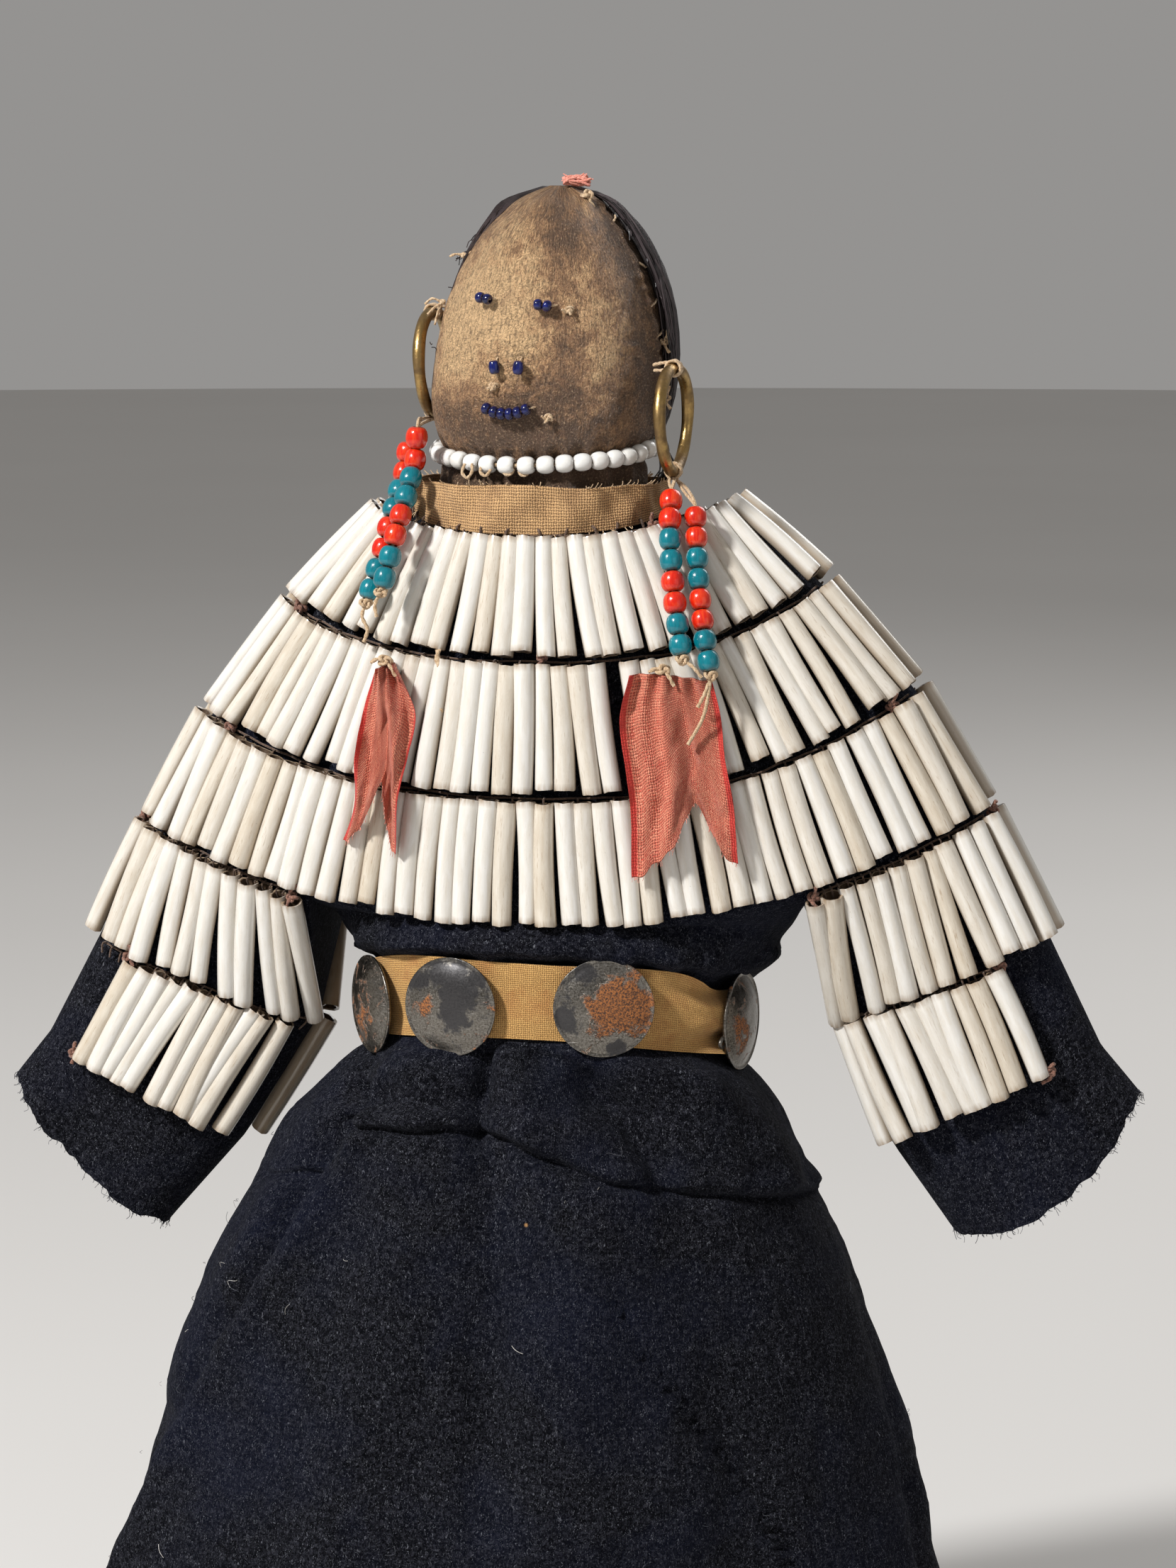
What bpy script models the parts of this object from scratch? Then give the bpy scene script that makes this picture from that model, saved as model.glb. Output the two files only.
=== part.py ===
"""A beaded hide doll: a stuffed hide head on a navy wool dress with rows of tusk shells.

The doll faces -Y, its own left is +X, and it stands on its hem at z = 0.
Sizes are millimetres here, and metres once a mesh is made.
"""

from math import cos, pi, radians, sin, sqrt

import bmesh
import bpy
import numpy as np

MM = 0.001

ORIGIN = np.array([2.0, 0.0, 0.0])  # under the middle of the whole doll, whose sleeves reach unevenly

# Fits between pieces
GAP = 0.35  # between pieces that touch
SEAT = 0.7  # from the faceted wool to the shells that lie on it
ARMPIT_SEAT = 0.5  # more of it below the armpit, where the wool twists

# Rows of shells: the lines between them, from the collar down to the cuff
ROW_Z = (293.0, 267.0, 238.5, 210.5)  # height of lines 0 to 3 on the chest
ROW_LIFT = (3.0, 3.0, 2.7, 2.2)  # how late each line climbs towards the sleeve
CHEST_DEPTH = (21.0, 26.5, 29.5, 30.5)  # half depth on the centre line
CHEST_SWELL = (1.02, 1.5)  # where the chest's swell ends, as a share of the fold, and how sharply
SLEEVE_DEPTH = (9.0, 12.5, 13.5, 13.0, 11.5, 11.0, 9.5)  # half depth on the sleeve
SHOULDER = {1: (0.90, 0.79, 0.67, 0.61), -1: (0.90, 0.79, 0.65, 0.57)}  # where the sleeve is parted from the yoke
FOLD = {  # the sleeve's upper fold at each line
    1: ((37.0, 298.5), (57.5, 282.0), (77.5, 260.0), (93.5, 234.0), (107.5, 206.5), (118.5, 184.0), (127.0, 174.0)),
    -1: ((37.5, 296.5), (57.5, 276.5), (76.5, 252.5), (90.5, 227.5), (103.5, 201.5), (115.5, 179.0), (123.0, 169.5)),
}
UNDERARM = {  # the sleeve's lower edge at lines 4 to 6
    1: ((63.5, 189.0), (74.0, 161.0), (87.5, 142.0)),
    -1: ((54.0, 184.5), (71.0, 157.0), (88.5, 137.0)),
}
CUFF_BULGE = {1: 8.0, -1: 3.5}  # how far the middle of the cuff hangs past its corners
SLEEVE_EDGE = 1.0  # half thickness left at the fold and the underarm
SLEEVE_RINGS = (0, 1, 2, 3, 3.33, 3.67, 4, 5, 6)  # lines, and shares between them, that shape the sleeve

# Tusk shells
SHELL_DIAMETER = 4.4
SHELL_WEB = 0.9  # thickness left between two shells
SHELL_COUNT = {"front": (30, 38, 44), "back": (20, 26, 32)}  # shells across rows 1 to 3
CUFF_COUNT = {"front": (11, 10), "back": (7, 6)}  # shells across rows 4 and 5 of a sleeve
SHELL_CROWN = {"front": (0.24, 0.76), "back": (0.5,)}  # where across a shell its flat crown lies
ROW_SPACE = 1.2  # wool that shows between two rows
ROW_REACH = 0.955  # how near rows 1 to 3 come to the fold
CUFF_START = 0.10  # where rows 4 and 5 begin, as a share of the sleeve from its underarm
CUFF_REACH = {1: (0.93, 0.74), -1: (0.93, 0.90)}  # and where they end, towards the fold
MISSING_SHELLS = {0: (13,), 1: (24,), 2: ()}  # gaps in the front rows

# Belt and waist
BELT_Z = 185.5
BELT_TILT_Y = -0.24  # the belt rides up in front
BELT_TILT_X = -0.06
BELT_HEIGHT = 19.0
BELT_THICKNESS = 1.4
BELT_CLEARANCE = 0.6  # from the faceted waist to the belt
PUFF_ABOVE = ((8.5, 8.0, -1.0), (2.0, 3.5, 1.0))  # wool over the belt: height, width and depth past the waist
PUFF_BELOW = (5.0, 3.5)  # wool under the belt: height and spread past the waist
WAIST_WIDTH = 39.7
WAIST_DEPTH = 32.5
ROUNDNESS = 2.35  # exponent of the body's rounded sections

CONCHO_DIAMETER = 21.5
CONCHO_DOME = 2.6
CONCHO_RIM = 0.8
CONCHO_TURNS = (-109.4, -70.6, -148.0, -11.5, 45.0, 97.0, 150.0)  # degrees round the waist

# Skirt
SKIRT_LEVELS = (  # height, half width, half depth, shift to the doll's left
    (165.0, 53.0, 37.5, -2.8),
    (151.5, 60.4, 41.6, -4.3),
    (150.0, 59.8, 41.0, -4.5),
    (135.0, 68.5, 45.5, -6.2),
    (110.0, 79.0, 50.0, -8.0),
    (70.0, 90.5, 56.0, -10.2),
    (35.0, 98.5, 59.5, -11.2),
    (0.0, 104.0, 62.0, -12.0),
)
HEM_BACK = 2.0  # how far the hem hangs behind the waist
TUCK_TILT = -0.42  # the hip tuck rides up in front
TILT_FADE = 0.45  # share of the skirt's height by which that tilt is gone
TILT_BACK = 0.35  # share of it behind
GATHER_DEPTH = 1.8
GATHER_COUNT = 9
GATHER_TURN = 0.6
GATHER_FADE = 0.22  # share of the skirt's height by which the gathers are gone
FOLD_DEPTH = 3.6
FOLD_START = 0.5  # share of the height by which the long folds are full
SKIRT_SIDES = 36
SKIRT_WALL = 4.0  # cloth and hem allowance round the hollow under the skirt
HOLLOW_TOP = 110.0  # height of that hollow

# Head: what lies on it is placed by its share of the head's height
HEAD_FOOT = 300.4
HEAD_HEIGHT = 66.2
HEAD_LEVELS = (  # share of the height, half width, half depth
    (0.0, 22.4, 18.0),
    (0.0846, 21.8, 17.6),
    (0.1299, 21.0, 17.4),
    (0.1677, 22.6, 19.4),
    (0.2356, 24.2, 21.2),
    (0.3565, 24.9, 22.3),
    (0.5076, 24.1, 22.4),
    (0.6586, 21.6, 21.0),
    (0.7946, 17.4, 17.6),
    (0.9003, 12.0, 12.8),
    (0.9683, 6.6, 7.2),
)
HEAD_SIDES = 18
HEAD_ROUNDNESS = 2.15
HEAD_TURN = -13.0  # degrees, towards its right
HEAD_LEAN = 0.06  # sideways, per unit of height above the chin
HEAD_X = -2.4
CHIN_LEVEL = 0.1752
NOSE_RIDGE = 1.1
RIDGE_LEVEL = 0.4924
RIDGE_REACH = (7.0, 0.2115)  # sideways, and up and down as a share of the height

HAIR_THICKNESS = 2.4
HAIR_CLEARANCE = 1.1
HAIR_FULLNESS = ((0.1722, 0.4), (0.3263, 0.5), (0.5378, 1.0))  # share of the height, share of the thickness
HAIR_COLUMNS = 12
HAIR_SPAN = (0.0, 184.0)  # degrees round the back of the head
HAIR_LOCK = 0.5
TIE_WIDTH = 5.2
TIE_PLACE = (1.2, 1.5, 1.8)  # of its middle, from the top of the head

EYE_BEAD = (2.0, 1.9)  # diameter and length
NOSE_BEAD = (2.3, 2.9)
MOUTH_BEAD = (2.4, 1.65)
FACE_GAP = 0.9  # from the faceted hide to a bead that lies on it
BEAD_SIDES = 5
EYES_LEVEL = 0.6284
EYE_SPREAD = 6.4
NOSE_LEVEL = 0.4245
NOSE_SPREAD = 2.7
MOUTH_LEVEL = 0.284
MOUTH_COUNT = 6
MOUTH_CURVE = 0.05

NECKLACE_LEVEL = 0.1239
NECKLACE_BEAD = 3.7
NECKLACE_COUNT = 36
NECKLACE_SAG = 0.8
NECKLACE_SLACK = 0.8

HOOP_DIAMETER = 24.2
HOOP_WIRE = 2.6
HOOP_LEFT = (27.5, -12.5, 318.5)
HOOP_RIGHT = (-29.0, 3.0, 328.0)

DROP_BEAD = 4.9
DROP_START = 12.0  # how far forward a strand leaves its hoop
DROPS = {  # first and last bead of each strand, its sideways bow, and how far it hangs before its neighbour
    "left_inner": ((28.0, 300.8), (32.2, 271.6), -0.6, 0.0),
    "left_outer": ((33.3, 297.4), (38.0, 268.3), -0.6, 0.0),
    "right_front": ((-27.4, 313.2), (-31.4, 284.4), 0.6, 4.0),
    "right_back": ((-30.4, 309.8), (-35.8, 281.4), 0.7, 0.0),
}
SLOPE_ALLOWANCE = 1.5  # what hangs in front stands off more where the wool slopes back
DROP_COLOURS = ("upper_red", "upper_teal", "lower_red", "lower_teal")

COLLAR_THICKNESS = 1.2
COLLAR_BOTTOM = 293.6
COLLAR_TOP = 303.6
COLLAR_RISE = 3.8  # how much higher its lower edge is over the shoulders
NECK_X = -3.4
NECK_WIDTH = 26.0
NECK_DEPTH = 21.0
NECK_TOP = 300.0
NECK_ROUNDNESS = 2.1

RIBBON_THICKNESS = 0.7
RIBBON_LEVELS = {  # height, inner edge, outer edge, from the knot down to the tails
    1: ((264.6, 21.5, 37.5), (258.0, 20.3, 40.0), (246.0, 21.5, 42.0), (234.0, 22.6, 44.0), (226.0, 23.0, 45.0)),
    -1: ((265.5, 26.5, 37.0), (257.0, 25.5, 38.0), (247.0, 28.0, 36.0), (237.0, 30.0, 39.0), (229.0, 31.5, 41.5)),
}
RIBBON_NOTCH = (3.0, 12.0)  # how high the notch rises in the last two levels
RIBBON_FOLD = 1.3

COLOURS = {  # colour, roughness, metallic
    "hide": ((0.30, 0.20, 0.12), 0.8, 0.0),
    "hair": ((0.02, 0.015, 0.02), 0.5, 0.0),
    "yarn": ((0.70, 0.22, 0.16), 0.9, 0.0),
    "cobalt glass": ((0.01, 0.02, 0.20), 0.15, 0.0),
    "white glass": ((0.85, 0.85, 0.82), 0.2, 0.0),
    "red glass": ((0.70, 0.05, 0.02), 0.2, 0.0),
    "teal glass": ((0.01, 0.20, 0.25), 0.2, 0.0),
    "brass": ((0.35, 0.22, 0.07), 0.35, 1.0),
    "gauze": ((0.45, 0.28, 0.13), 0.9, 0.0),
    "wool": ((0.010, 0.012, 0.022), 0.95, 0.0),
    "shell": ((0.78, 0.74, 0.66), 0.35, 0.0),
    "tape": ((0.55, 0.33, 0.11), 0.85, 0.0),
    "steel": ((0.28, 0.25, 0.22), 0.4, 1.0),
    "ribbon": ((0.65, 0.10, 0.06), 0.6, 0.0),
}


def clear_scene():
    for item in list(bpy.data.objects):
        bpy.data.objects.remove(item)


def material(name):
    """A plain Principled material of the named finish."""
    found = bpy.data.materials.get(name)
    if found:
        return found
    colour, roughness, metallic = COLOURS[name]
    made = bpy.data.materials.new(name)
    made.use_nodes = True
    shader = made.node_tree.nodes["Principled BSDF"]
    shader.inputs["Base Color"].default_value = (*colour, 1.0)
    shader.inputs["Roughness"].default_value = roughness
    shader.inputs["Metallic"].default_value = metallic
    made.diffuse_color = (*colour, 1.0)
    return made


def add_piece(name, points, faces, finish, smooth_angle=40.0):
    """One named closed body from points in millimetres, with its faces turned outwards."""
    mesh = bpy.data.meshes.new(name)
    mesh.from_pydata([tuple(point) for point in (np.asarray(points) - ORIGIN) * MM], [], faces)
    shape = bmesh.new()
    shape.from_mesh(mesh)
    bmesh.ops.recalc_face_normals(shape, faces=shape.faces)
    if shape.calc_volume(signed=True) < 0:
        bmesh.ops.reverse_faces(shape, faces=shape.faces)
    shape.to_mesh(mesh)
    shape.free()
    mesh.shade_smooth()
    mesh.set_sharp_from_angle(angle=radians(smooth_angle))
    mesh.materials.append(material(finish))
    piece = bpy.data.objects.new(name, mesh)
    bpy.context.scene.collection.objects.link(piece)
    return piece


def loft(rings, closed=False):
    """Points and faces of rings joined in order, capped at both ends unless the rings close on themselves."""
    rings = np.asarray(rings, float)
    count, sides = rings.shape[:2]
    faces = []
    for ring in range(count if closed else count - 1):
        above, below = ring * sides, (ring + 1) % count * sides
        for side in range(sides):
            following = (side + 1) % sides
            faces.append((above + side, above + following, below + following, below + side))
    if not closed:
        faces.append(tuple(reversed(range(sides))))
        faces.append(tuple(range((count - 1) * sides, count * sides)))
    return rings.reshape(-1, 3), faces


def add_tip(points, faces, sides, tip):
    """Replaces the last cap by a fan that meets in one point."""
    faces.pop()
    first = len(points) - sides
    points = np.vstack([points, tip])
    for side in range(sides):
        faces.append((first + side, first + (side + 1) % sides, len(points) - 1))
    return points, faces


def oval(width, depth, turn, roundness=ROUNDNESS):
    """The x and y of a rounded oval, a superellipse, at the angle turn."""
    power = 2.0 / roundness
    x = width * np.sign(np.cos(turn)) * np.abs(np.cos(turn)) ** power
    y = depth * np.sign(np.sin(turn)) * np.abs(np.sin(turn)) ** power
    return x, y


# Wool surface: yoke and sleeves

def chest_point(line, place):
    """A point of the front surface on lines 0 to 3. Place runs from -1 at the right fold to 1 at the left."""
    side = 1 if place >= 0 else -1
    share = min(abs(place), 1.0)
    fold_x, fold_z = FOLD[side][line]
    x = side * share * fold_x
    z = ROW_Z[line] + (fold_z - ROW_Z[line]) * share ** ROW_LIFT[line]
    sleeve = SLEEVE_DEPTH[line] * sqrt(max(0.0, 1.0 - share**6))
    swell = (CHEST_DEPTH[line] - SLEEVE_DEPTH[line]) * cos(pi / 2 * min(1.0, share / CHEST_SWELL[0])) ** CHEST_SWELL[1]
    return np.array([x, -(sleeve + swell), z])


def sleeve_point(line, side, across):
    """A point of the sleeve's front surface. Across runs from the underarm, 0, to the fold, 1."""
    if line < 4:
        share = SHOULDER[side][line] + across * (1.0 - SHOULDER[side][line])
        return chest_point(line, side * share)
    inner = np.array(UNDERARM[side][line - 4])
    outer = np.array(FOLD[side][line])
    place = inner + across * (outer - inner)
    if line == 6:
        down = outer - np.array(FOLD[side][4])
        place = place + CUFF_BULGE[side] * 4 * across * (1 - across) * down / np.linalg.norm(down)
    depth = SLEEVE_DEPTH[line] * sqrt(max(0.0, 1.0 - abs(2 * across - 1) ** 3))
    return np.array([side * place[0], -depth, place[1]])


def back_of(point):
    return point * np.array([1.0, -1.0, 1.0])


def belt_height(x, y):
    return BELT_Z + BELT_TILT_Y * y + BELT_TILT_X * x


def waist_ring(offset_z, width, depth, places):
    """A ring round the waist, level with the tilted belt. Places match the yoke's own ring."""
    ring = []
    for place, back in places:
        turn = -pi / 2 + place * pi / 2 if not back else pi / 2 - place * pi / 2
        x, y = oval(width, depth, turn)
        ring.append((x, y, belt_height(x, y) + offset_z))
    return ring


def make_yoke():
    """The wool from the neck opening to under the belt, without the sleeves."""
    steps = 12
    spread = [2.0 * k / steps - 1.0 for k in range(steps + 1)]
    places = [(place, False) for place in spread] + [(place, True) for place in reversed(spread)]
    rings = []
    for height in (NECK_TOP, COLLAR_BOTTOM - GAP):
        ring = []
        for place, back in places:
            turn = -pi / 2 + place * pi / 2 if not back else pi / 2 - place * pi / 2
            x, y = oval(NECK_WIDTH, NECK_DEPTH, turn, NECK_ROUNDNESS)
            ring.append((x + NECK_X, y, height))
        rings.append(ring)
    for line in range(4):
        ring = []
        for place, back in places:
            side = 1 if place >= 0 else -1
            share = place * (SHOULDER[side][line] - GAP / 2 / FOLD[side][line][0])
            point = chest_point(line, share)
            ring.append(back_of(point) if back else point)
        rings.append(ring)
    half = BELT_HEIGHT / 2
    for height, wide, deep in PUFF_ABOVE:
        rings.append(waist_ring(half + height, WAIST_WIDTH + wide, WAIST_DEPTH + deep, places))
    rings.append(waist_ring(half, WAIST_WIDTH, WAIST_DEPTH, places))
    rings.append(waist_ring(-half, WAIST_WIDTH, WAIST_DEPTH, places))
    add_piece("dress_yoke", *loft(rings), "wool")


def make_sleeve(name, side):
    """A wide flattened sleeve, from the shoulder to the cuff."""
    steps = 8
    across = [(1 - cos(pi * k / steps)) / 2 for k in range(steps + 1)]
    rings = []
    for line in SLEEVE_RINGS:
        above, share_down = int(line), line % 1
        front = [sleeve_point(above, side, share) for share in across]
        if share_down:
            below = [sleeve_point(above + 1, side, share) for share in across]
            front = [(1 - share_down) * a + share_down * b for a, b in zip(front, below)]
        for end in (0, steps):
            front[end][1] = min(front[end][1], -SLEEVE_EDGE)
        if line < 4:
            front[0][0] += side * GAP / 2
        back = [back_of(point) for point in reversed(front)]
        rings.append(front + back)
    add_piece(name, *loft(rings), "wool")


# Shells

def row_surface(line, locate, place, down):
    """A point of the wool between two lines, and its outward direction."""
    step = 0.004
    here = (1 - down) * locate(line, place) + down * locate(line + 1, place)
    ahead = (1 - down) * locate(line, place + step) + down * locate(line + 1, place + step)
    behind = (1 - down) * locate(line, place - step) + down * locate(line + 1, place - step)
    along = ahead - behind
    slope = locate(line + 1, place) - locate(line, place)
    outward = np.cross(along, slope)
    outward /= np.linalg.norm(outward)
    if outward[1] > 0:
        outward = -outward
    return here, outward


def make_shell_row(name, line, locate, start, end, count, face, missing=(), seat=SEAT):
    """A row of shells side by side, as one band of rounded humps that lies on the wool."""
    edges = [start + (end - start) * k / count for k in range(count + 1)]
    crown = SHELL_CROWN[face]
    sections = []
    for level in (0, 1):
        outer, inner = [], []
        for k, place in enumerate(edges):
            length = np.linalg.norm(locate(line, place) - locate(line + 1, place))
            down = ROW_SPACE / 2 / length if level == 0 else 1 - (ROW_SPACE + 0.5 * sin(2.3 * k)) / length
            here, outward = row_surface(line, locate, place, down)
            inner.append(here + seat * outward)
            outer.append(here + (seat + SHELL_WEB) * outward)
            if k == count:
                break
            top = SHELL_WEB + 0.3 if k in missing else SHELL_DIAMETER
            for share in crown:
                here, outward = row_surface(line, locate, place + share * (edges[k + 1] - place), down)
                outer.append(here + (seat + top) * outward)
        sections.append((np.array(outer), np.array(inner)))
    points = np.vstack([sections[0][0], sections[0][1], sections[1][0], sections[1][1]])
    outer_count, inner_count = len(sections[0][0]), len(sections[0][1])
    lower = outer_count + inner_count
    faces = []
    for k in range(outer_count - 1):
        faces.append((k, k + 1, lower + k + 1, lower + k))
    for k in range(inner_count - 1):
        first = outer_count + k
        faces.append((first + 1, first, lower + first, lower + first + 1))
    for offset in (0, lower):
        for k in range(count):
            hump = [offset + (len(crown) + 1) * k + j for j in range(len(crown) + 2)]
            seat = [offset + outer_count + k + 1, offset + outer_count + k]
            faces.append(tuple(hump + seat))
    last_outer, last_inner = outer_count - 1, outer_count + inner_count - 1
    faces.append((0, outer_count, lower + outer_count, lower))
    faces.append((last_outer, last_inner, lower + last_inner, lower + last_outer))
    if face == "back":
        points = back_of(points)
    add_piece(name, points, faces, "shell", 30.0)


def make_shells():
    for face in ("front", "back"):
        for line, count in enumerate(SHELL_COUNT[face]):
            missing = MISSING_SHELLS[line] if face == "front" else ()
            make_shell_row(
                f"shell_row_{line + 1}_{face}", line, chest_point, -ROW_REACH, ROW_REACH, count, face, missing
            )
        for side, word in ((1, "left"), (-1, "right")):
            for line, count in zip((3, 4), CUFF_COUNT[face]):
                make_shell_row(
                    f"shell_row_{line + 1}_{word}_{face}",
                    line,
                    lambda row, across, turned=side: sleeve_point(row, turned, min(max(across, 0.0), 1.0)),
                    CUFF_START,
                    CUFF_REACH[side][line - 3],
                    count,
                    face,
                    seat=SEAT + (ARMPIT_SEAT if line == 3 else 0.0),
                )


# Waist, belt and skirt

def belt_ring(extra, offset_z, sides):
    ring = []
    for k in range(sides):
        x, y = oval(WAIST_WIDTH, WAIST_DEPTH, 2 * pi * k / sides)
        far_x, far_y = oval(WAIST_WIDTH + extra, WAIST_DEPTH + extra, 2 * pi * k / sides)
        ring.append((far_x, far_y, belt_height(x, y) + offset_z))
    return ring


def make_belt():
    sides = 24
    half = BELT_HEIGHT / 2 - GAP
    inner = BELT_CLEARANCE
    outer = inner + BELT_THICKNESS
    corners = ((inner, half), (outer, half), (outer, -half), (inner, -half))
    rings = [belt_ring(extra, offset_z, sides) for extra, offset_z in corners]
    sections = np.swapaxes(np.array(rings), 0, 1)
    add_piece("belt", *loft(sections, closed=True), "tape")


def make_conchos():
    """Domed discs that stand on the belt, each square to it."""
    names = ("concho_front_right", "concho_front_left", "concho_side_right", "concho_side_left",
             "concho_back_left", "concho_back_middle", "concho_back_right")
    sides = 12
    radius = CONCHO_DIAMETER / 2
    profile = ((1.0, 0.0), (1.0, CONCHO_RIM), (0.72, 0.62 * CONCHO_DOME))
    reach = BELT_CLEARANCE + BELT_THICKNESS
    for name, degrees in zip(names, CONCHO_TURNS):
        turn = radians(degrees)
        foot = np.array([*oval(WAIST_WIDTH + reach, WAIST_DEPTH + reach, turn), 0.0])
        ahead = np.array([*oval(WAIST_WIDTH + reach, WAIST_DEPTH + reach, turn + 0.02), 0.0])
        behind = np.array([*oval(WAIST_WIDTH + reach, WAIST_DEPTH + reach, turn - 0.02), 0.0])
        along = ahead - behind
        along /= np.linalg.norm(along)
        up = np.array([0.0, 0.0, 1.0])
        outward = np.cross(along, up)
        foot[2] = belt_height(foot[0], foot[1])
        foot = foot + outward * GAP
        rings = []
        for share, height in profile:
            ring = []
            for k in range(sides):
                around = 2 * pi * k / sides
                ring.append(foot + radius * share * (cos(around) * along + sin(around) * up) + height * outward)
            rings.append(ring)
        points, faces = loft(rings)
        points, faces = add_tip(points, faces, sides, foot + CONCHO_DOME * outward)
        add_piece(name, points, faces, "steel", 50.0)


def skirt_folds(turn, level):
    """How far the wool stands out: gathers under the belt that fade into a few long folds."""
    gather = GATHER_DEPTH * cos(GATHER_COUNT * turn + GATHER_TURN) * max(0.0, 1.0 - level / GATHER_FADE)
    long = FOLD_DEPTH * (0.6 * sin(3 * turn + 0.5) + 0.4 * sin(5 * turn + 1.7)) * min(1.0, level / FOLD_START)
    return gather + long


def skirt_ring(height, width, depth, shift, turns):
    """A ring of the skirt at its own level, not yet tilted."""
    level = 1.0 - height / SKIRT_LEVELS[0][0]
    ring = []
    for turn in turns:
        extra = skirt_folds(turn, level)
        x, y = oval(width + extra, depth + extra, turn)
        ring.append(np.array([x + shift, y + HEM_BACK * level, height]))
    return ring


def make_skirt():
    """The wool skirt, gathered under the belt, tucked at the hip, flared to a flat hem and hollow below."""
    turns = [2 * pi * k / SKIRT_SIDES for k in range(SKIRT_SIDES)]
    rings = []
    half = BELT_HEIGHT / 2
    for height, extra, gather in ((GAP, 0.0, 0.0), (*PUFF_BELOW, GATHER_DEPTH)):
        ring = []
        for turn in turns:
            x, y = oval(WAIST_WIDTH, WAIST_DEPTH, turn)
            fold = extra + gather * cos(GATHER_COUNT * turn + GATHER_TURN)
            far_x, far_y = oval(WAIST_WIDTH + fold, WAIST_DEPTH + fold, turn)
            ring.append((far_x, far_y, belt_height(x, y) - half - height))
        rings.append(ring)
    for height, width, depth, shift in SKIRT_LEVELS:
        level = 1.0 - height / SKIRT_LEVELS[0][0]
        ring = skirt_ring(height, width, depth, shift, turns)
        steepness = TUCK_TILT * max(0.0, 1.0 - level / TILT_FADE) * (0.6 if level == 0 else 1.0)
        for point in ring:
            forward = point[1] - HEM_BACK * level
            point[2] += steepness * forward * (1.0 if forward < 0 else TILT_BACK)
        rings.append(ring)
    levels = np.array(SKIRT_LEVELS[::-1])
    for height in (0.0, HOLLOW_TOP):
        width, depth, shift = (np.interp(height, levels[:, 0], levels[:, axis]) for axis in (1, 2, 3))
        rings.append(skirt_ring(height, width - SKIRT_WALL, depth - SKIRT_WALL, shift, turns))
    add_piece("dress_skirt", *loft(rings), "wool", 60.0)


# Head

def head_height(share):
    return HEAD_FOOT + share * HEAD_HEIGHT


def head_frame(point):
    """Turns and leans a point given square to the head."""
    turn = radians(HEAD_TURN)
    x, y, z = point
    return np.array([
        HEAD_X + x * cos(turn) - y * sin(turn) + HEAD_LEAN * (z - head_height(CHIN_LEVEL)),
        x * sin(turn) + y * cos(turn),
        z,
    ])


def head_size(share):
    """Half width and half depth of the head at a share of its height, read along its levels."""
    levels = np.array(HEAD_LEVELS + ((1.0, 0.0, 0.0),))
    return (np.interp(share, levels[:, 0], levels[:, 1]), np.interp(share, levels[:, 0], levels[:, 2]))


def head_point(turn, share, extra=0.0, lift=0.0):
    """A point off the hide by extra, and lifted by lift."""
    width, depth = head_size(share + lift / HEAD_HEIGHT)
    x, y = oval(width + extra, depth + extra, turn, HEAD_ROUNDNESS)
    return head_frame((x, y, head_height(share) + lift))


def nose_ridge(x, share):
    """How far the pinched nose stands forward of the face."""
    sideways = max(0.0, 1.0 - abs(x) / RIDGE_REACH[0])
    return NOSE_RIDGE * sideways * max(0.0, 1.0 - abs(share - RIDGE_LEVEL) / RIDGE_REACH[1])


def make_head():
    rings = []
    for share, width, depth in HEAD_LEVELS:
        ring = []
        for k in range(HEAD_SIDES):
            turn = 2 * pi * (k + 0.5) / HEAD_SIDES - pi / 2
            x, y = oval(width, depth, turn, HEAD_ROUNDNESS)
            y = y - nose_ridge(x, share) if y < 0 else y
            ring.append(head_frame((x, y, head_height(share))))
        rings.append(ring)
    points, faces = loft(rings)
    points, faces = add_tip(points, faces, HEAD_SIDES, head_frame((0.0, 0.0, head_height(1.0))))
    add_piece("head", points, faces, "hide", 60.0)


def make_hair():
    """Bound hair over the back and sides of the head, with shallow locks."""
    foot = HAIR_FULLNESS[0][0]
    shares = [foot] + [level[0] for level in HEAD_LEVELS if level[0] > HAIR_FULLNESS[1][0]]
    first, last = HAIR_SPAN
    turns = [radians(first + (last - first) * k / HAIR_COLUMNS) for k in range(HAIR_COLUMNS + 1)]
    fullness = np.array(HAIR_FULLNESS)
    inner, outer = [], []
    for share in shares:
        inner_row, outer_row = [], []
        for k, turn in enumerate(turns):
            edge = min(k, HAIR_COLUMNS - k) / 3.0
            full = np.interp(share, fullness[:, 0], fullness[:, 1])
            thick = HAIR_THICKNESS * full * min(1.0, 0.35 + 0.65 * edge) + HAIR_LOCK * (-1) ** k
            inner_row.append(head_point(turn, share, HAIR_CLEARANCE))
            outer_row.append(head_point(turn, share, HAIR_CLEARANCE + thick, 0.12 * thick))
        inner.append(inner_row)
        outer.append(outer_row)
    rings = []
    for inner_row, outer_row in zip(inner, outer):
        rings.append(inner_row + outer_row[::-1])
    add_piece("hair", *loft(rings), "hair", 50.0)


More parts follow.
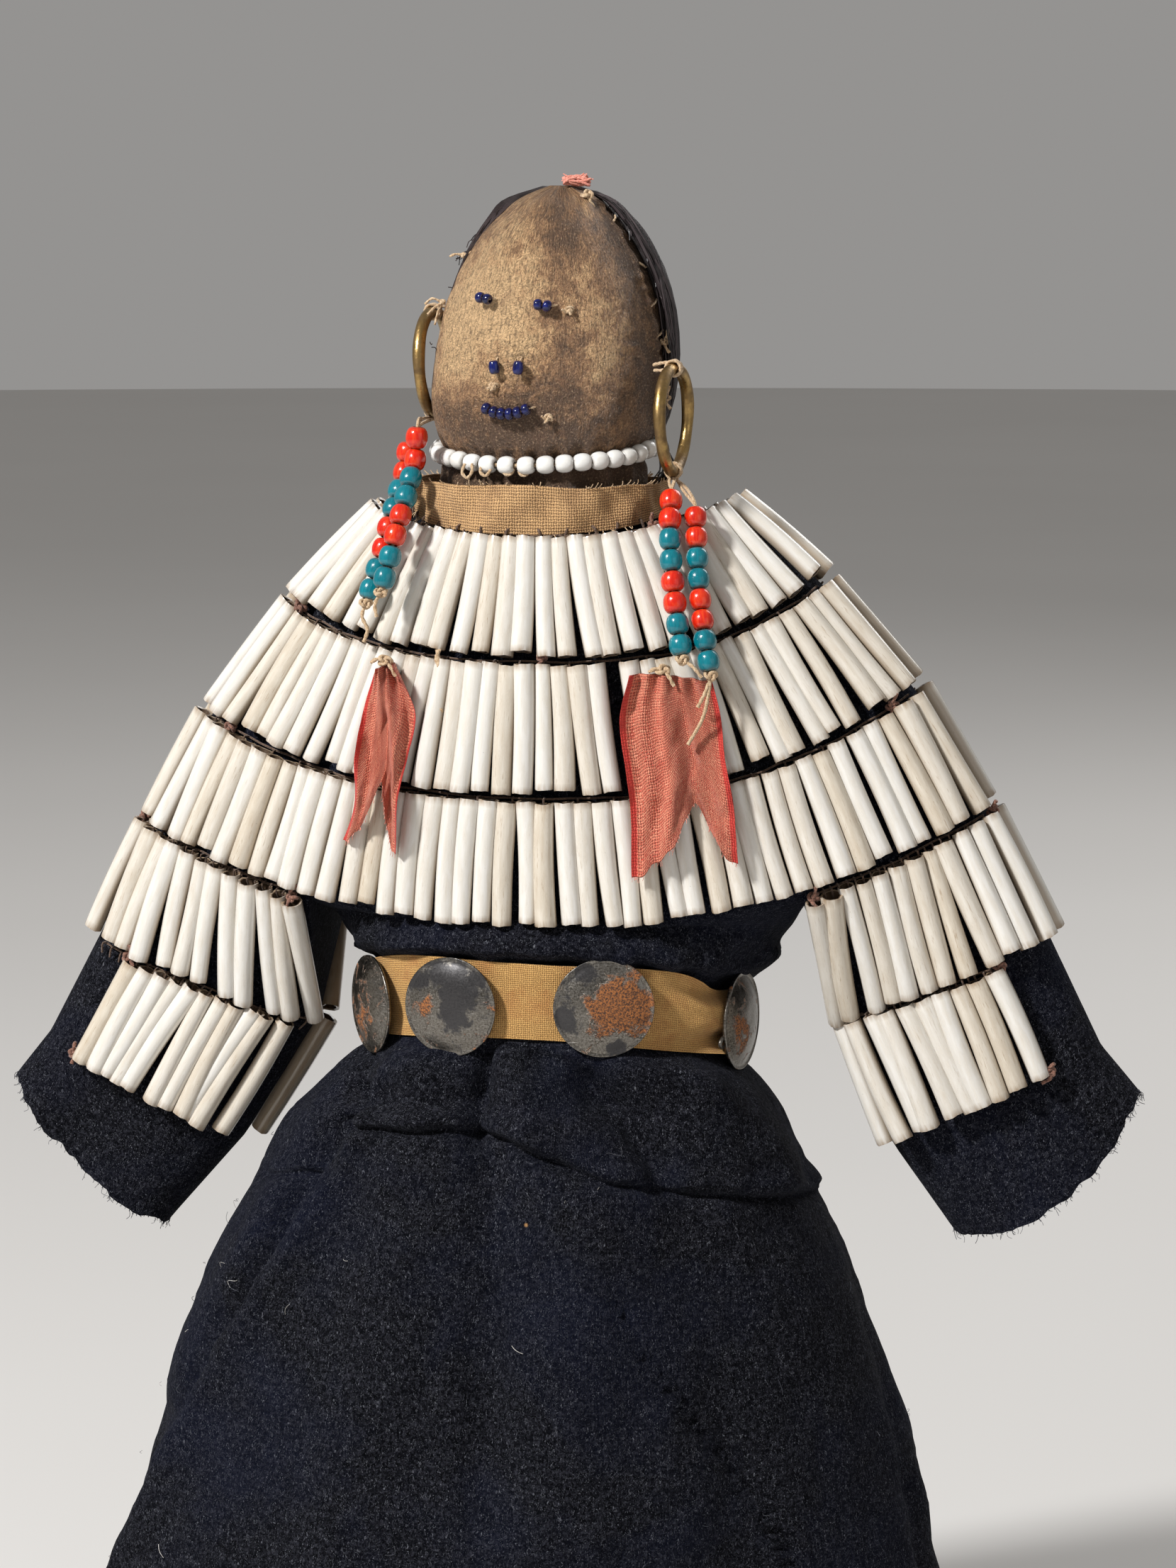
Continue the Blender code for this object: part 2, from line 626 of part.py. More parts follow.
def bead_run(path, diameter, length, sides, closed=False, pinch=0.45, plain=False):
    """Rings of a run of beads along a path of bead centres: each bead a belly between two necks.
    A plain bead has one ring at its belly, and others have two."""
    path = np.asarray(path, float)
    count = len(path)
    rings = []
    for k in range(count):
        if closed:
            along = path[(k + 1) % count] - path[k - 1]
        elif count == 1:
            along = np.array([0.0, 0.0, -1.0])
        else:
            along = path[min(k + 1, count - 1)] - path[max(k - 1, 0)]
        along = along / np.linalg.norm(along)
        guide = np.array([0.0, 1.0, 0.0]) if abs(along[1]) < 0.8 else np.array([0.0, 0.0, 1.0])
        if closed:
            guide = np.array([0.0, 0.0, 1.0])
        across = np.cross(along, guide)
        across /= np.linalg.norm(across)
        other = np.cross(along, across)
        bellies = ((-0.5, pinch), (0.0, 1.0)) if plain else ((-0.5, pinch), (-0.22, 0.95), (0.22, 0.95))
        if not closed and k == count - 1:
            bellies += ((0.5, pinch),)
        for share, size in bellies:
            ring = []
            for side in range(sides):
                around = 2 * pi * side / sides
                spoke = cos(around) * across + sin(around) * other
                ring.append(path[k] + share * length * along + diameter / 2 * size * spoke)
            rings.append(ring)
    return loft(rings, closed)


def face_spot(x, share, lift):
    """A point in front of the face, square to the head."""
    width, depth = head_size(share)
    y = -depth * (1.0 - (abs(x) / width) ** HEAD_ROUNDNESS) ** (1 / HEAD_ROUNDNESS)
    return head_frame((x, y - nose_ridge(x, share) - lift, head_height(share)))


def make_face_beads():
    for side, word in ((1, "left"), (-1, "right")):
        diameter, length = EYE_BEAD
        lift = diameter / 2 + FACE_GAP
        centres = [face_spot(side * EYE_SPREAD + step * length / 2, EYES_LEVEL, lift) for step in (-1, 1)]
        run = bead_run(centres, diameter, length, BEAD_SIDES, plain=True)
        add_piece(f"eye_beads_{word}", *run, "cobalt glass")
        diameter, length = NOSE_BEAD
        centre = face_spot(side * NOSE_SPREAD, NOSE_LEVEL, diameter / 2 + FACE_GAP)
        add_piece(f"nose_bead_{word}", *bead_run([centre], diameter, length, BEAD_SIDES), "cobalt glass")
    diameter, length = MOUTH_BEAD
    centres = []
    for k in range(MOUTH_COUNT):
        across = (k - (MOUTH_COUNT - 1) / 2) * length
        share = MOUTH_LEVEL + MOUTH_CURVE * across**2 / HEAD_HEIGHT
        centres.append(face_spot(across, share, diameter / 2 + FACE_GAP))
    add_piece("mouth_beads", *bead_run(centres, diameter, length, BEAD_SIDES, plain=True), "cobalt glass")


def make_necklace():
    centres = []
    for k in range(NECKLACE_COUNT):
        turn = 2 * pi * k / NECKLACE_COUNT
        width, depth = head_size(NECKLACE_LEVEL)
        reach = NECKLACE_BEAD / 2 + NECKLACE_SLACK
        x, y = oval(width + reach, depth + reach, turn, NECK_ROUNDNESS)
        sag = NECKLACE_SAG * y / depth
        centres.append(head_frame((x, y, head_height(NECKLACE_LEVEL) + sag)))
    spacing = np.linalg.norm(centres[1] - centres[0])
    run = bead_run(centres, NECKLACE_BEAD, spacing, BEAD_SIDES, closed=True, pinch=0.5, plain=True)
    add_piece("necklace", *run, "white glass")


def make_hoop(name, centre):
    """A brass ring that hangs in an upright plane beside the head."""
    steps, sides = 14, 5
    rings = []
    for k in range(steps):
        around = 2 * pi * k / steps
        spoke = np.array([0.0, cos(around), sin(around)])
        middle = np.array(centre) + (HOOP_DIAMETER - HOOP_WIRE) / 2 * spoke
        ring = []
        for side in range(sides):
            turn = 2 * pi * side / sides
            ring.append(middle + HOOP_WIRE / 2 * (cos(turn) * spoke + sin(turn) * np.array([1.0, 0.0, 0.0])))
        rings.append(ring)
    add_piece(name, *loft(rings, closed=True), "brass", 80.0)


def wool_depth(x, z):
    """How far forward the chest and sleeve stand at x and z, read between the row lines."""
    side = 1 if x >= 0 else -1
    depths, heights = [], []
    for line in range(4):
        share = min(abs(x) / FOLD[side][line][0], 1.0)
        point = chest_point(line, side * share)
        depths.append(-point[1])
        heights.append(point[2])
    return float(np.interp(z, heights[::-1], depths[::-1], right=depths[0] - 0.8 * max(0.0, z - heights[0])))


def make_drops():
    """Two strands of eight beads under each hoop, two beads of a colour at a time."""
    reach = (SEAT + SHELL_DIAMETER + DROP_BEAD / 2 + GAP) * SLOPE_ALLOWANCE
    for strand, (first, last, bow, before) in DROPS.items():
        course = []
        for share in np.linspace(0.0, 1.0, 60):
            x = first[0] + share * (last[0] - first[0]) + bow * sin(pi * share)
            z = first[1] + share * (last[1] - first[1])
            course.append(np.array([x, -max(wool_depth(x, z) + reach, DROP_START) - before, z]))
        course = np.array(course)
        walked = np.concatenate([[0.0], np.cumsum(np.linalg.norm(np.diff(course, axis=0), axis=1))])
        stops = np.linspace(0.0, walked[-1], 8)
        centres = [np.array([np.interp(stop, walked, course[:, axis]) for axis in range(3)]) for stop in stops]
        length = min(np.linalg.norm(np.diff(centres, axis=0), axis=1)) - GAP
        for pair, colour in enumerate(DROP_COLOURS):
            run = bead_run(centres[2 * pair : 2 * pair + 2], DROP_BEAD, length, BEAD_SIDES, pinch=0.5)
            add_piece(f"drop_{strand}_{colour}", *run, f"{colour.split('_')[1]} glass")


def make_collar():
    """The gauze strip round the neck opening."""
    sides = 20
    corners = ((GAP, COLLAR_TOP), (GAP + COLLAR_THICKNESS, COLLAR_TOP),
               (GAP + COLLAR_THICKNESS, COLLAR_BOTTOM + COLLAR_RISE), (GAP, COLLAR_BOTTOM + COLLAR_RISE))
    sections = []
    for k in range(sides):
        turn = 2 * pi * k / sides
        section = []
        for extra, height in corners:
            x, y = oval(NECK_WIDTH + extra, NECK_DEPTH + extra, turn, NECK_ROUNDNESS)
            low = height < COLLAR_TOP
            section.append((x + NECK_X, y, height - COLLAR_RISE * abs(sin(turn)) if low else height))
        sections.append(section)
    add_piece("collar", *loft(sections, closed=True), "gauze")


def make_ribbon(name, side):
    """A ribbon tied under the drops: one folded sheet with a notch between its two tails."""
    columns = 5
    front, back = [], []
    levels = RIBBON_LEVELS[side]
    for index, (height, inner, outer) in enumerate(levels):
        front_row, back_row = [], []
        for k in range(columns + 1):
            share = k / columns
            x = side * (inner + share * (outer - inner))
            z = height
            if index >= len(levels) - 2:
                z += RIBBON_NOTCH[index - len(levels)] * max(0.0, 1 - abs(share - 0.6) / 0.4) ** 2
            stand = SEAT + SHELL_DIAMETER + 2.0 + RIBBON_FOLD * (1 + cos(pi * k + 0.4))
            y = -(wool_depth(x, z) + stand)
            back_row.append((x, y, z))
            front_row.append((x, y - RIBBON_THICKNESS, z))
        front.append(front_row)
        back.append(back_row)
    rings = [front_row + back_row[::-1] for front_row, back_row in zip(front, back)]
    add_piece(name, *loft(rings), "ribbon", 60.0)


def make_hair_tie():
    """A small yarn knot on the crown."""
    rings = []
    across, back, lift = TIE_PLACE
    top = head_frame((across, back, head_height(1.0))) + np.array([0.0, 0.0, lift])
    for share, size in ((-0.5, 0.35), (-0.2, 0.9), (0.15, 0.75), (0.5, 0.4)):
        ring = []
        for side in range(6):
            around = 2 * pi * side / 6
            ring.append(top + np.array([
                share * TIE_WIDTH,
                TIE_WIDTH * 0.26 * size * cos(around),
                TIE_WIDTH * 0.24 * size * sin(around),
            ]))
        rings.append(ring)
    add_piece("hair_tie", *loft(rings), "yarn", 60.0)


def main():
    clear_scene()
    make_head()
    make_hair()
    make_hair_tie()
    make_face_beads()
    make_necklace()
    make_hoop("earring_left", HOOP_LEFT)
    make_hoop("earring_right", HOOP_RIGHT)
    make_drops()
    make_ribbon("ribbon_left", 1)
    make_ribbon("ribbon_right", -1)
    make_collar()
    make_yoke()
    make_sleeve("dress_sleeve_left", 1)
    make_sleeve("dress_sleeve_right", -1)
    make_shells()
    make_belt()
    make_conchos()
    make_skirt()


main()
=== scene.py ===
"""Finished surfaces of a beaded hide doll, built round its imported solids.

The doll faces -Y and its own left is +X. Sizes are millimetres here, as in the part's own
source, and metres once a mesh is made.
"""

from math import cos, pi, radians, sin

import bmesh
import bpy
import numpy as np
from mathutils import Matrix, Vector


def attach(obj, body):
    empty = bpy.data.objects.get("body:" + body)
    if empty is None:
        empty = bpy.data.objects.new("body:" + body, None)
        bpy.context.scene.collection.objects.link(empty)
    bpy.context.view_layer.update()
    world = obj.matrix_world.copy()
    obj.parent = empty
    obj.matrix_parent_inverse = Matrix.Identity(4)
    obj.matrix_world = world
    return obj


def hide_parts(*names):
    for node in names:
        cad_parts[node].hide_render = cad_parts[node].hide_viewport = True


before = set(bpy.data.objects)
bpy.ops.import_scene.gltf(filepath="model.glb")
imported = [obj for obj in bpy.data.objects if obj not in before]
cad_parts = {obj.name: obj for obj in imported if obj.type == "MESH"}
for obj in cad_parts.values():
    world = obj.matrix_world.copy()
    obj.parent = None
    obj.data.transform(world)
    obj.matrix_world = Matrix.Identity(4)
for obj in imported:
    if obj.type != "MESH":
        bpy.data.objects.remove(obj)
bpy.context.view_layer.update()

MM = 0.001
ORIGIN = np.array([2.0, 0.0, 0.0])

# Camera and light, in metres
VIEW_TURN = radians(11.0)
VIEW_RISE = radians(8.0)
VIEW_DISTANCE = 1.0
VIEW_SLANT = (0.194, 0.14)  # how far depth moves a point across and up in the view
VIEW_TARGET = (0.00462, 0.0, 0.2375)
FOCAL_PIXELS = 6500.0
FRAME_PIXELS = 2212.0
SENSOR = 36.0
FLOOR_RADIUS = 6.0
STUDIO_GLOW = 0.48
LAMPS = (  # name, place, size, power
    ("key", (-0.82, -1.02, 1.30), 0.17, 39.0),
    ("fill", (1.5, -1.3, 0.7), 1.4, 3.0),
    ("rim", (0.7, 1.4, 1.3), 1.0, 12.0),
)
LAMP_AIM = (0.0, 0.0, 0.22)

# Body, as the solids have it
SEAT = 0.7
ROW_Z = (293.0, 267.0, 238.5, 210.5)
ROW_LIFT = (3.0, 3.0, 2.7, 2.2)
CHEST_DEPTH = (21.0, 26.5, 29.5, 30.5)
SLEEVE_DEPTH = (9.0, 12.5, 13.5, 13.0, 11.5, 11.0, 9.5)
SHOULDER = {1: (0.90, 0.79, 0.67, 0.61), -1: (0.90, 0.79, 0.65, 0.57)}
FOLD = {
    1: ((37.0, 298.5), (57.5, 282.0), (77.5, 260.0), (93.5, 234.0), (107.5, 206.5), (118.5, 184.0),
        (127.0, 174.0)),
    -1: ((37.5, 296.5), (57.5, 276.5), (76.5, 252.5), (90.5, 227.5), (103.5, 201.5), (115.5, 179.0),
         (123.0, 169.5)),
}
UNDERARM = {
    1: ((63.5, 189.0), (74.0, 161.0), (87.5, 142.0)),
    -1: ((54.0, 184.5), (71.0, 157.0), (88.5, 137.0)),
}
CUFF_BULGE = {1: 8.0, -1: 3.5}

# Rows of shells: how far round they reach, how many there are, how wide they are, and which are lost
ROW_REACH = 0.982
CUFF_START = {1: 0.04, -1: 0.03}
CUFF_REACH = {1: (0.965, 0.74), -1: (0.97, 0.93)}
SHORT_ROW = (0.11, 0.76)  # where the lowest front row of the right sleeve starts and ends
ROW_SHELLS = {"front": (28, 38, 44), "back": (26, 35, 41)}
CUFF_SHELLS = {("front", 1): (12, 10), ("front", -1): (12, 11), ("back", 1): (9, 8), ("back", -1): (9, 8)}
SHELL_WIDTHS = (4.15, 3.95, 4.1, 4.1, 4.1)
LOST_SHELLS = {("front", 1): (23,)}

BELT_Z = 185.5
BELT_TILT_Y = -0.24
BELT_TILT_X = -0.06
BELT_RISE = 2.2  # how much higher than its solid the tape sits in the middle
BELT_LEAN = 0.033  # how much less the tape tilts across than its solid
BELT_HEIGHT = 17.4
BELT_CLEARANCE = 0.6
BELT_THICKNESS = 1.4
WAIST = (39.7, 32.5)
ROUNDNESS = 2.35
CONCHO_DIAMETER = 21.5
CONCHO_DOME = 2.6
CONCHO_SAG = 0.4
CONCHO_HUNG_BEFORE = -75.0  # discs before this angle hang at their solids' height
CONCHO_TURNS = {
    "concho_front_right": -109.4, "concho_front_left": -70.6, "concho_side_right": -148.0,
    "concho_side_left": -11.5, "concho_back_left": 45.0, "concho_back_middle": 97.0, "concho_back_right": 150.0,
}

SKIRT_LEVELS = (  # height, half width, half depth, shift
    (0.0, 104.0, 62.0, -12.0),
    (35.0, 98.5, 59.5, -11.2),
    (70.0, 90.5, 56.0, -10.2),
    (110.0, 79.0, 50.0, -8.0),
    (135.0, 68.5, 45.5, -6.2),
    (151.0, 60.2, 41.4, -4.4),
    (165.0, 53.0, 37.5, -2.8),
)
HEM_BACK = 2.0
TUCK_Z = 150.7
TUCK_TILT = -0.42

HEAD_LEVELS = (  # height, half width, half depth
    (300.4, 22.4, 18.0),
    (306.0, 21.8, 17.6),
    (309.0, 21.0, 17.4),
    (311.5, 22.6, 19.4),
    (316.0, 24.2, 21.2),
    (324.0, 24.9, 22.3),
    (334.0, 24.1, 22.4),
    (344.0, 21.6, 21.0),
    (353.0, 17.4, 17.6),
    (360.0, 12.0, 12.8),
    (364.5, 6.6, 7.2),
    (366.3, 2.0, 2.2),
)
HEAD_TOP = 366.6
HEAD_ROUNDNESS = 2.15
HEAD_TURN = -13.0
HEAD_LEAN = 0.06
HEAD_X = -2.4
CHIN_Z = 312.0

NECK = (-3.4, 26.0, 21.0)  # place across, half width and half depth of the neck opening
NECK_ROUNDNESS = 2.1
COLLAR_BOTTOM = 293.6
COLLAR_TOP = 303.6
COLLAR_RISE = 3.8

HOOP_DIAMETER = 24.2
HOOP_WIRE = 2.6
HOOPS = {"earring_left": (27.5, -12.5, 317.5), "earring_right": (-28.0, 3.0, 328.4)}
DROP_BEAD = 4.9
DROP_START = 12.0
DROPS = {
    "left_inner": ((28.0, 300.8), (32.2, 271.6), -0.6, 0.0),
    "left_outer": ((33.3, 297.4), (38.0, 268.3), -0.6, 0.0),
    "right_front": ((-27.4, 313.2), (-31.4, 284.4), 0.6, 4.0),
    "right_back": ((-30.4, 309.8), (-35.8, 281.4), 0.7, 0.0),
}
DROP_COLOURS = ("upper_red", "upper_teal", "lower_red", "lower_teal")
SLOPE_ALLOWANCE = 1.5
SHELL_DIAMETER = 4.4
GAP = 0.35

# Beads of the face and the necklace: diameter, length
EYE_BEAD = (2.4, 1.85)
NOSE_BEAD = (2.3, 2.85)
MOUTH_BEAD = (2.6, 1.76)
NECKLACE_BEAD = (3.95, 3.85)
NECKLACE_COUNT = 36
FACE_SHIFT = 0.8
EYE_SHIFT = 0.45
EYE_APART = 6.85
EYE_HEIGHT = {1: 341.7, -1: 342.95}
NOSE_APART = 2.65
NOSE_HEIGHT = 328.7
MOUTH_STEP = 1.82
MOUTH_HEIGHT = 318.9

RIBBON_LEVELS = {  # height, inner edge, outer edge
    1: ((264.6, 21.5, 37.5), (258.0, 20.3, 40.0), (246.0, 21.5, 42.0), (234.0, 22.6, 44.0),
        (226.0, 23.0, 45.0)),
    -1: ((265.5, 28.6, 34.0), (257.0, 24.8, 36.8), (247.0, 25.6, 37.0), (238.0, 27.2, 37.2),
         (229.0, 28.0, 40.6)),
}
RIBBON_STAND = 3.4
RIBBON_LEAST = 1.2

chance = np.random.default_rng(11)


# Shapes worked out on grids

def glide(place, stations, values):
    """Values between stations, as a cubic through each pair whose slopes are the values' own gradient."""
    stations = np.asarray(stations, float)
    values = np.asarray(values, float)
    place = np.asarray(place, float)
    slope = np.gradient(values, stations, axis=0)
    low = np.clip(np.searchsorted(stations, place) - 1, 0, len(stations) - 2)
    width = stations[low + 1] - stations[low]
    share = (place - stations[low]) / width
    more = (1,) * (values.ndim - 1)
    share = share.reshape(share.shape + more)
    width = width.reshape(width.shape + more)
    square, cube = share**2, share**3
    return (
        (2 * cube - 3 * square + 1) * values[low]
        + (cube - 2 * square + share) * width * slope[low]
        + (3 * square - 2 * cube) * values[low + 1]
        + (cube - square) * width * slope[low + 1]
    )


def circle(count, start=0.0):
    """Angles spaced evenly round a turn."""
    return start + 2 * pi * np.arange(count) / count


def lengths_along(points):
    """The length walked along a path to each of its points."""
    return np.concatenate([[0.0], np.cumsum(np.linalg.norm(np.diff(points, axis=0), axis=1))])


def between(place, stations, values):
    """Values between stations, straight from each to the next."""
    stations = np.asarray(stations, float)
    low = np.clip(np.searchsorted(stations, place) - 1, 0, len(stations) - 2)
    share = ((place - stations[low]) / (stations[low + 1] - stations[low]))[:, None, None]
    return (1 - share) * values[low] + share * values[low + 1]


def walked_rows(rings):
    """The mean length walked down a set of rings to each of them."""
    return np.concatenate([[0.0], np.cumsum(np.linalg.norm(np.diff(rings, axis=0), axis=2).mean(axis=1))])


def through(stops, count):
    """A smooth path of count points through the stops, spaced by the length between them."""
    stops = np.asarray(stops, float)
    walked = lengths_along(stops)
    return glide(np.linspace(0.0, walked[-1], count), walked, stops)


def ripple(points, size, seed=0):
    """Smooth noise from -1 to 1: a random value at each corner of cubes of that size, eased between corners."""
    place = np.asarray(points, float) / size + 31.7 * seed
    cell = np.floor(place).astype(np.int64)
    share = place - cell
    share = share * share * (3 - 2 * share)
    total = np.zeros(place.shape[:-1])
    for corner in np.ndindex(2, 2, 2):
        at = cell + np.array(corner)
        mixed = at[..., 0] * 73856093 ^ at[..., 1] * 19349663 ^ at[..., 2] * 83492791
        mixed = (mixed ^ (mixed >> 13)) * 1274126177
        value = ((mixed >> 7) & 0xFFFF) / 32767.5 - 1.0
        weight = np.prod(np.where(np.array(corner) == 1, share, 1 - share), axis=-1)
        total = total + weight * value
    return total


def unit(vectors):
    """Vectors brought to length 1."""
    return vectors / np.maximum(np.linalg.norm(vectors, axis=-1, keepdims=True), 1e-9)


def square_to(axis):
    """Two unit vectors square to an axis and to each other."""
    axis = unit(np.asarray(axis, float))
    guide = np.array([0.0, 0.0, 1.0]) if abs(axis[2]) < 0.8 else np.array([1.0, 0.0, 0.0])
    across = unit(np.cross(axis, guide))
    return across, np.cross(axis, across)


def tube(path, radius, sides=8, plies=0, pitch=3.0, depth=0.18):
    """Rings square to a path. With plies, each ring is lobed and turns with the length, as yarn does."""
    path = np.asarray(path, float)
    along = unit(np.gradient(path, axis=0))
    across = np.empty_like(path)
    side = square_to(along[0])[0]
    for ring, ahead in enumerate(along):
        side = unit(side - (side @ ahead) * ahead)
        across[ring] = side
    other = np.cross(along, across)
    turn = circle(sides)
    walked = lengths_along(path)
    swell = 1.0 + (depth * np.cos(plies * turn - 2 * pi * walked[:, None] / pitch) if plies else 0.0)
    reach = (np.broadcast_to(radius, len(path))[:, None] * swell)[..., None]
    spoke = np.cos(turn)[None, :, None] * across[:, None] + np.sin(turn)[None, :, None] * other[:, None]
    return path[:, None] + reach * spoke


class Skin:
    """Gathers grids of points into one mesh. A point keeps a tone, its grid's own number, and a lay,
    its place in the grid's own frame. A corner keeps a flat place, for cloth."""

    def __init__(self):
        self.points, self.tones, self.lays = [], [], []
        self.faces, self.flats = [], []
        self.count = 0

    def add(self, grid, wrap=True, loop=False, first=True, last=True, tone=0.0, lay=None, flat=None):
        """Quads between neighbours. Wrap joins the last column to the first and loop the last row to the
        first; first and last close an end ring with a fan round its middle."""
        rows, columns = grid.shape[:2]
        index = np.arange(rows * columns).reshape(rows, columns) + self.count
        if wrap:
            index = np.hstack([index, index[:, :1]])
        if loop:
            index = np.vstack([index, index[:1]])
        if flat is None:
            flat = np.zeros(index.shape + (2,))
        corners = lambda a: np.stack([a[:-1, :-1], a[:-1, 1:], a[1:, 1:], a[1:, :-1]], 2)
        self.faces.extend(corners(index).reshape(-1, 4).tolist())
        self.flats.append(corners(flat).reshape(-1, 2))
        points = grid.reshape(-1, 3)
        places = np.zeros_like(points) if lay is None else np.asarray(lay, float).reshape(-1, 3)
        tones = np.broadcast_to(tone, grid.shape[:2]).reshape(-1)
        for wanted, ring in ((first, 0), (last, rows - 1)):
            if wanted and wrap and not loop:
                middle = self.count + len(points)
                self.faces.extend(
                    [int(a), int(b), middle] for a, b in zip(index[ring, :-1], index[ring, 1:])
                )
                ends = np.stack([flat[ring, :-1], flat[ring, 1:], flat[ring, 1:]], 1)
                self.flats.append(ends.reshape(-1, 2))
                points = np.vstack([points, grid[ring].mean(axis=0)])
                places = np.vstack([places, places[ring * columns : (ring + 1) * columns].mean(axis=0)])
                tones = np.append(tones, tones[ring * columns])
        self.points.append(points)
        self.tones.append(tones)
        self.lays.append(places)
        self.count += len(points)
        return self

    def sew(self, stops, count, radius, sides=8, tone=0.0, **twist):
        """Adds a thread or a hair that runs smoothly through the stops."""
        return self.add(tube(through(stops, count), radius, sides, **twist), tone=tone)

    def build(self, name, finish, slot=None, stands_for=(), smooth=55.0):
        """One mesh piece that rides on the doll, with its faces turned outwards."""
        points = (np.concatenate(self.points) - ORIGIN) * MM
        mesh = bpy.data.meshes.new(name)
        mesh.from_pydata(points.tolist(), [], self.faces)
        flat = mesh.uv_layers.new(name="flat")
        flat.data.foreach_set("uv", np.concatenate(self.flats).astype(np.float32).ravel())
        tone = mesh.attributes.new("tone", "FLOAT", "POINT")
        tone.data.foreach_set("value", np.concatenate(self.tones).astype(np.float32))
        lay = mesh.attributes.new("lay", "FLOAT_VECTOR", "POINT")
        lay.data.foreach_set("vector", np.concatenate(self.lays).astype(np.float32).ravel())
        shape = bmesh.new()
        shape.from_mesh(mesh)
        bmesh.ops.recalc_face_normals(shape, faces=shape.faces)
        shape.to_mesh(mesh)
        shape.free()
        mesh.shade_smooth()
        mesh.set_sharp_from_angle(angle=radians(smooth))
        mesh.materials.append(finish)
        piece = bpy.data.objects.new(name, mesh)
        bpy.context.scene.collection.objects.link(piece)
        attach(piece, "root")
        if stands_for:
            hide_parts(*stands_for)
        return piece


# The doll's own surfaces

def oval(width, depth, turn, roundness=ROUNDNESS):
    """The x and y of a rounded oval, a superellipse, at the angle turn."""
    power = 2.0 / roundness
    x = width * np.sign(np.cos(turn)) * np.abs(np.cos(turn)) ** power
    y = depth * np.sign(np.sin(turn)) * np.abs(np.sin(turn)) ** power
    return x, y


def chest(line, place):
    """The front surface on row line 0 to 3: place runs from -1 at the right fold to 1 at the left. Depth is
    the sleeve's flat oval plus a swell that follows a cosine to the power 1.5."""
    place = np.asarray(place, float)
    share = np.clip(np.abs(place), 0.0, 1.0)
    fold_x = np.where(place >= 0, FOLD[1][line][0], FOLD[-1][line][0])
    fold_z = np.where(place >= 0, FOLD[1][line][1], FOLD[-1][line][1])
    x = np.sign(place) * share * fold_x
    z = ROW_Z[line] + (fold_z - ROW_Z[line]) * share ** ROW_LIFT[line]
    edge = SLEEVE_DEPTH[line] * np.sqrt(np.maximum(0.0, 1.0 - share**6))
    swell = (CHEST_DEPTH[line] - SLEEVE_DEPTH[line]) * np.cos(pi / 2 * np.minimum(1.0, share / 1.02)) ** 1.5
    return np.stack([x, -(edge + swell), z], -1)


def sleeve(line, side, across):
    """The sleeve's front surface: across runs from the underarm, 0, to the fold, 1."""
    across = np.clip(np.asarray(across, float), 0.0, 1.0)
    if line < 4:
        start = SHOULDER[side][line]
        return chest(line, side * (start + across * (1.0 - start)))
    inner = np.array(UNDERARM[side][line - 4])
    outer = np.array(FOLD[side][line])
    place = inner + across[..., None] * (outer - inner)
    if line == 6:
        down = outer - np.array(FOLD[side][4])
        place = place + (CUFF_BULGE[side] * 4 * across * (1 - across))[..., None] * down / np.linalg.norm(down)
    depth = SLEEVE_DEPTH[line] * np.sqrt(np.maximum(0.0, 1.0 - np.abs(2 * across - 1) ** 3))
    return np.stack([side * place[..., 0], -depth, place[..., 1]], -1)


def sleeve_of(side):
    """One side's sleeve, as a surface to lay a row of shells on."""
    return lambda line, across: sleeve(line, side, across)


def on_row(line, locate, place, down):
    """A point between two lines of a row, and the direction square to the wool there."""
    step = 0.004
    at = lambda where: (1 - down) * locate(line, where) + down * locate(line + 1, where)
    outward = unit(np.cross(at(place + step) - at(place - step), locate(line + 1, place) - locate(line, place)))
    if outward[1] > 0:
        outward = -outward
    return at(place), outward


def belt_height(x, y):
    """The height of the tape's middle: a plane that tilts forward and across."""
    return BELT_Z + BELT_RISE + BELT_TILT_Y * y + (BELT_TILT_X + BELT_LEAN) * x


def head_frame(points):
    """Turns and leans points given square to the head."""
    turn = radians(HEAD_TURN)
    x, y, z = points[..., 0], points[..., 1], points[..., 2]
    return np.stack([
        HEAD_X + x * cos(turn) - y * sin(turn) + HEAD_LEAN * (z - CHIN_Z),
        x * sin(turn) + y * cos(turn),
        z,
    ], -1)


def head_size(height):
    """The head's half width and half depth at a height, read between its levels."""
    levels = np.array(HEAD_LEVELS)
    sizes = glide(np.minimum(height, levels[-1, 0]), levels[:, 0], levels[:, 1:])
    return sizes[..., 0], sizes[..., 1]


def nose_ridge(x, height):
    """A soft pinched ridge down the middle of the face."""
    return 1.1 * np.exp(-((x / 3.2) ** 2)) * np.exp(-(((height - 333.0) / 9.0) ** 2))


def head_point(turn, height, extra=0.0):
    """A point of the hide, or off it by extra: an oval of the level's size, ridged down the face."""
    width, depth = head_size(height)
    x, y = oval(width + extra, depth + extra, turn, HEAD_ROUNDNESS)
    y = np.where(y < 0, y - nose_ridge(x, height), y)
    return head_frame(np.stack([x, y, np.broadcast_to(height, x.shape)], -1))


def face_spot(x, height, lift=0.0):
    """A point of the face straight in front of x, or off it by lift: the oval solved for y, and the ridge."""
    width, depth = head_size(height)
    y = -depth * (1.0 - (abs(x) / width) ** HEAD_ROUNDNESS) ** (1 / HEAD_ROUNDNESS)
    return head_frame(np.array([x, y - nose_ridge(x, height) - lift, height], float))


def wool_depth(x, z):
    """How far forward the chest stands at x and z, read between the row lines."""
    side = 1 if x >= 0 else -1
    lines = [chest(line, side * min(abs(x) / FOLD[side][line][0], 1.0)) for line in range(4)]
    depths, heights = [-p[1] for p in lines], [p[2] for p in lines]
    return float(np.interp(z, heights[::-1], depths[::-1], right=depths[0] - 0.8 * max(0.0, z - heights[0])))


# Node trees

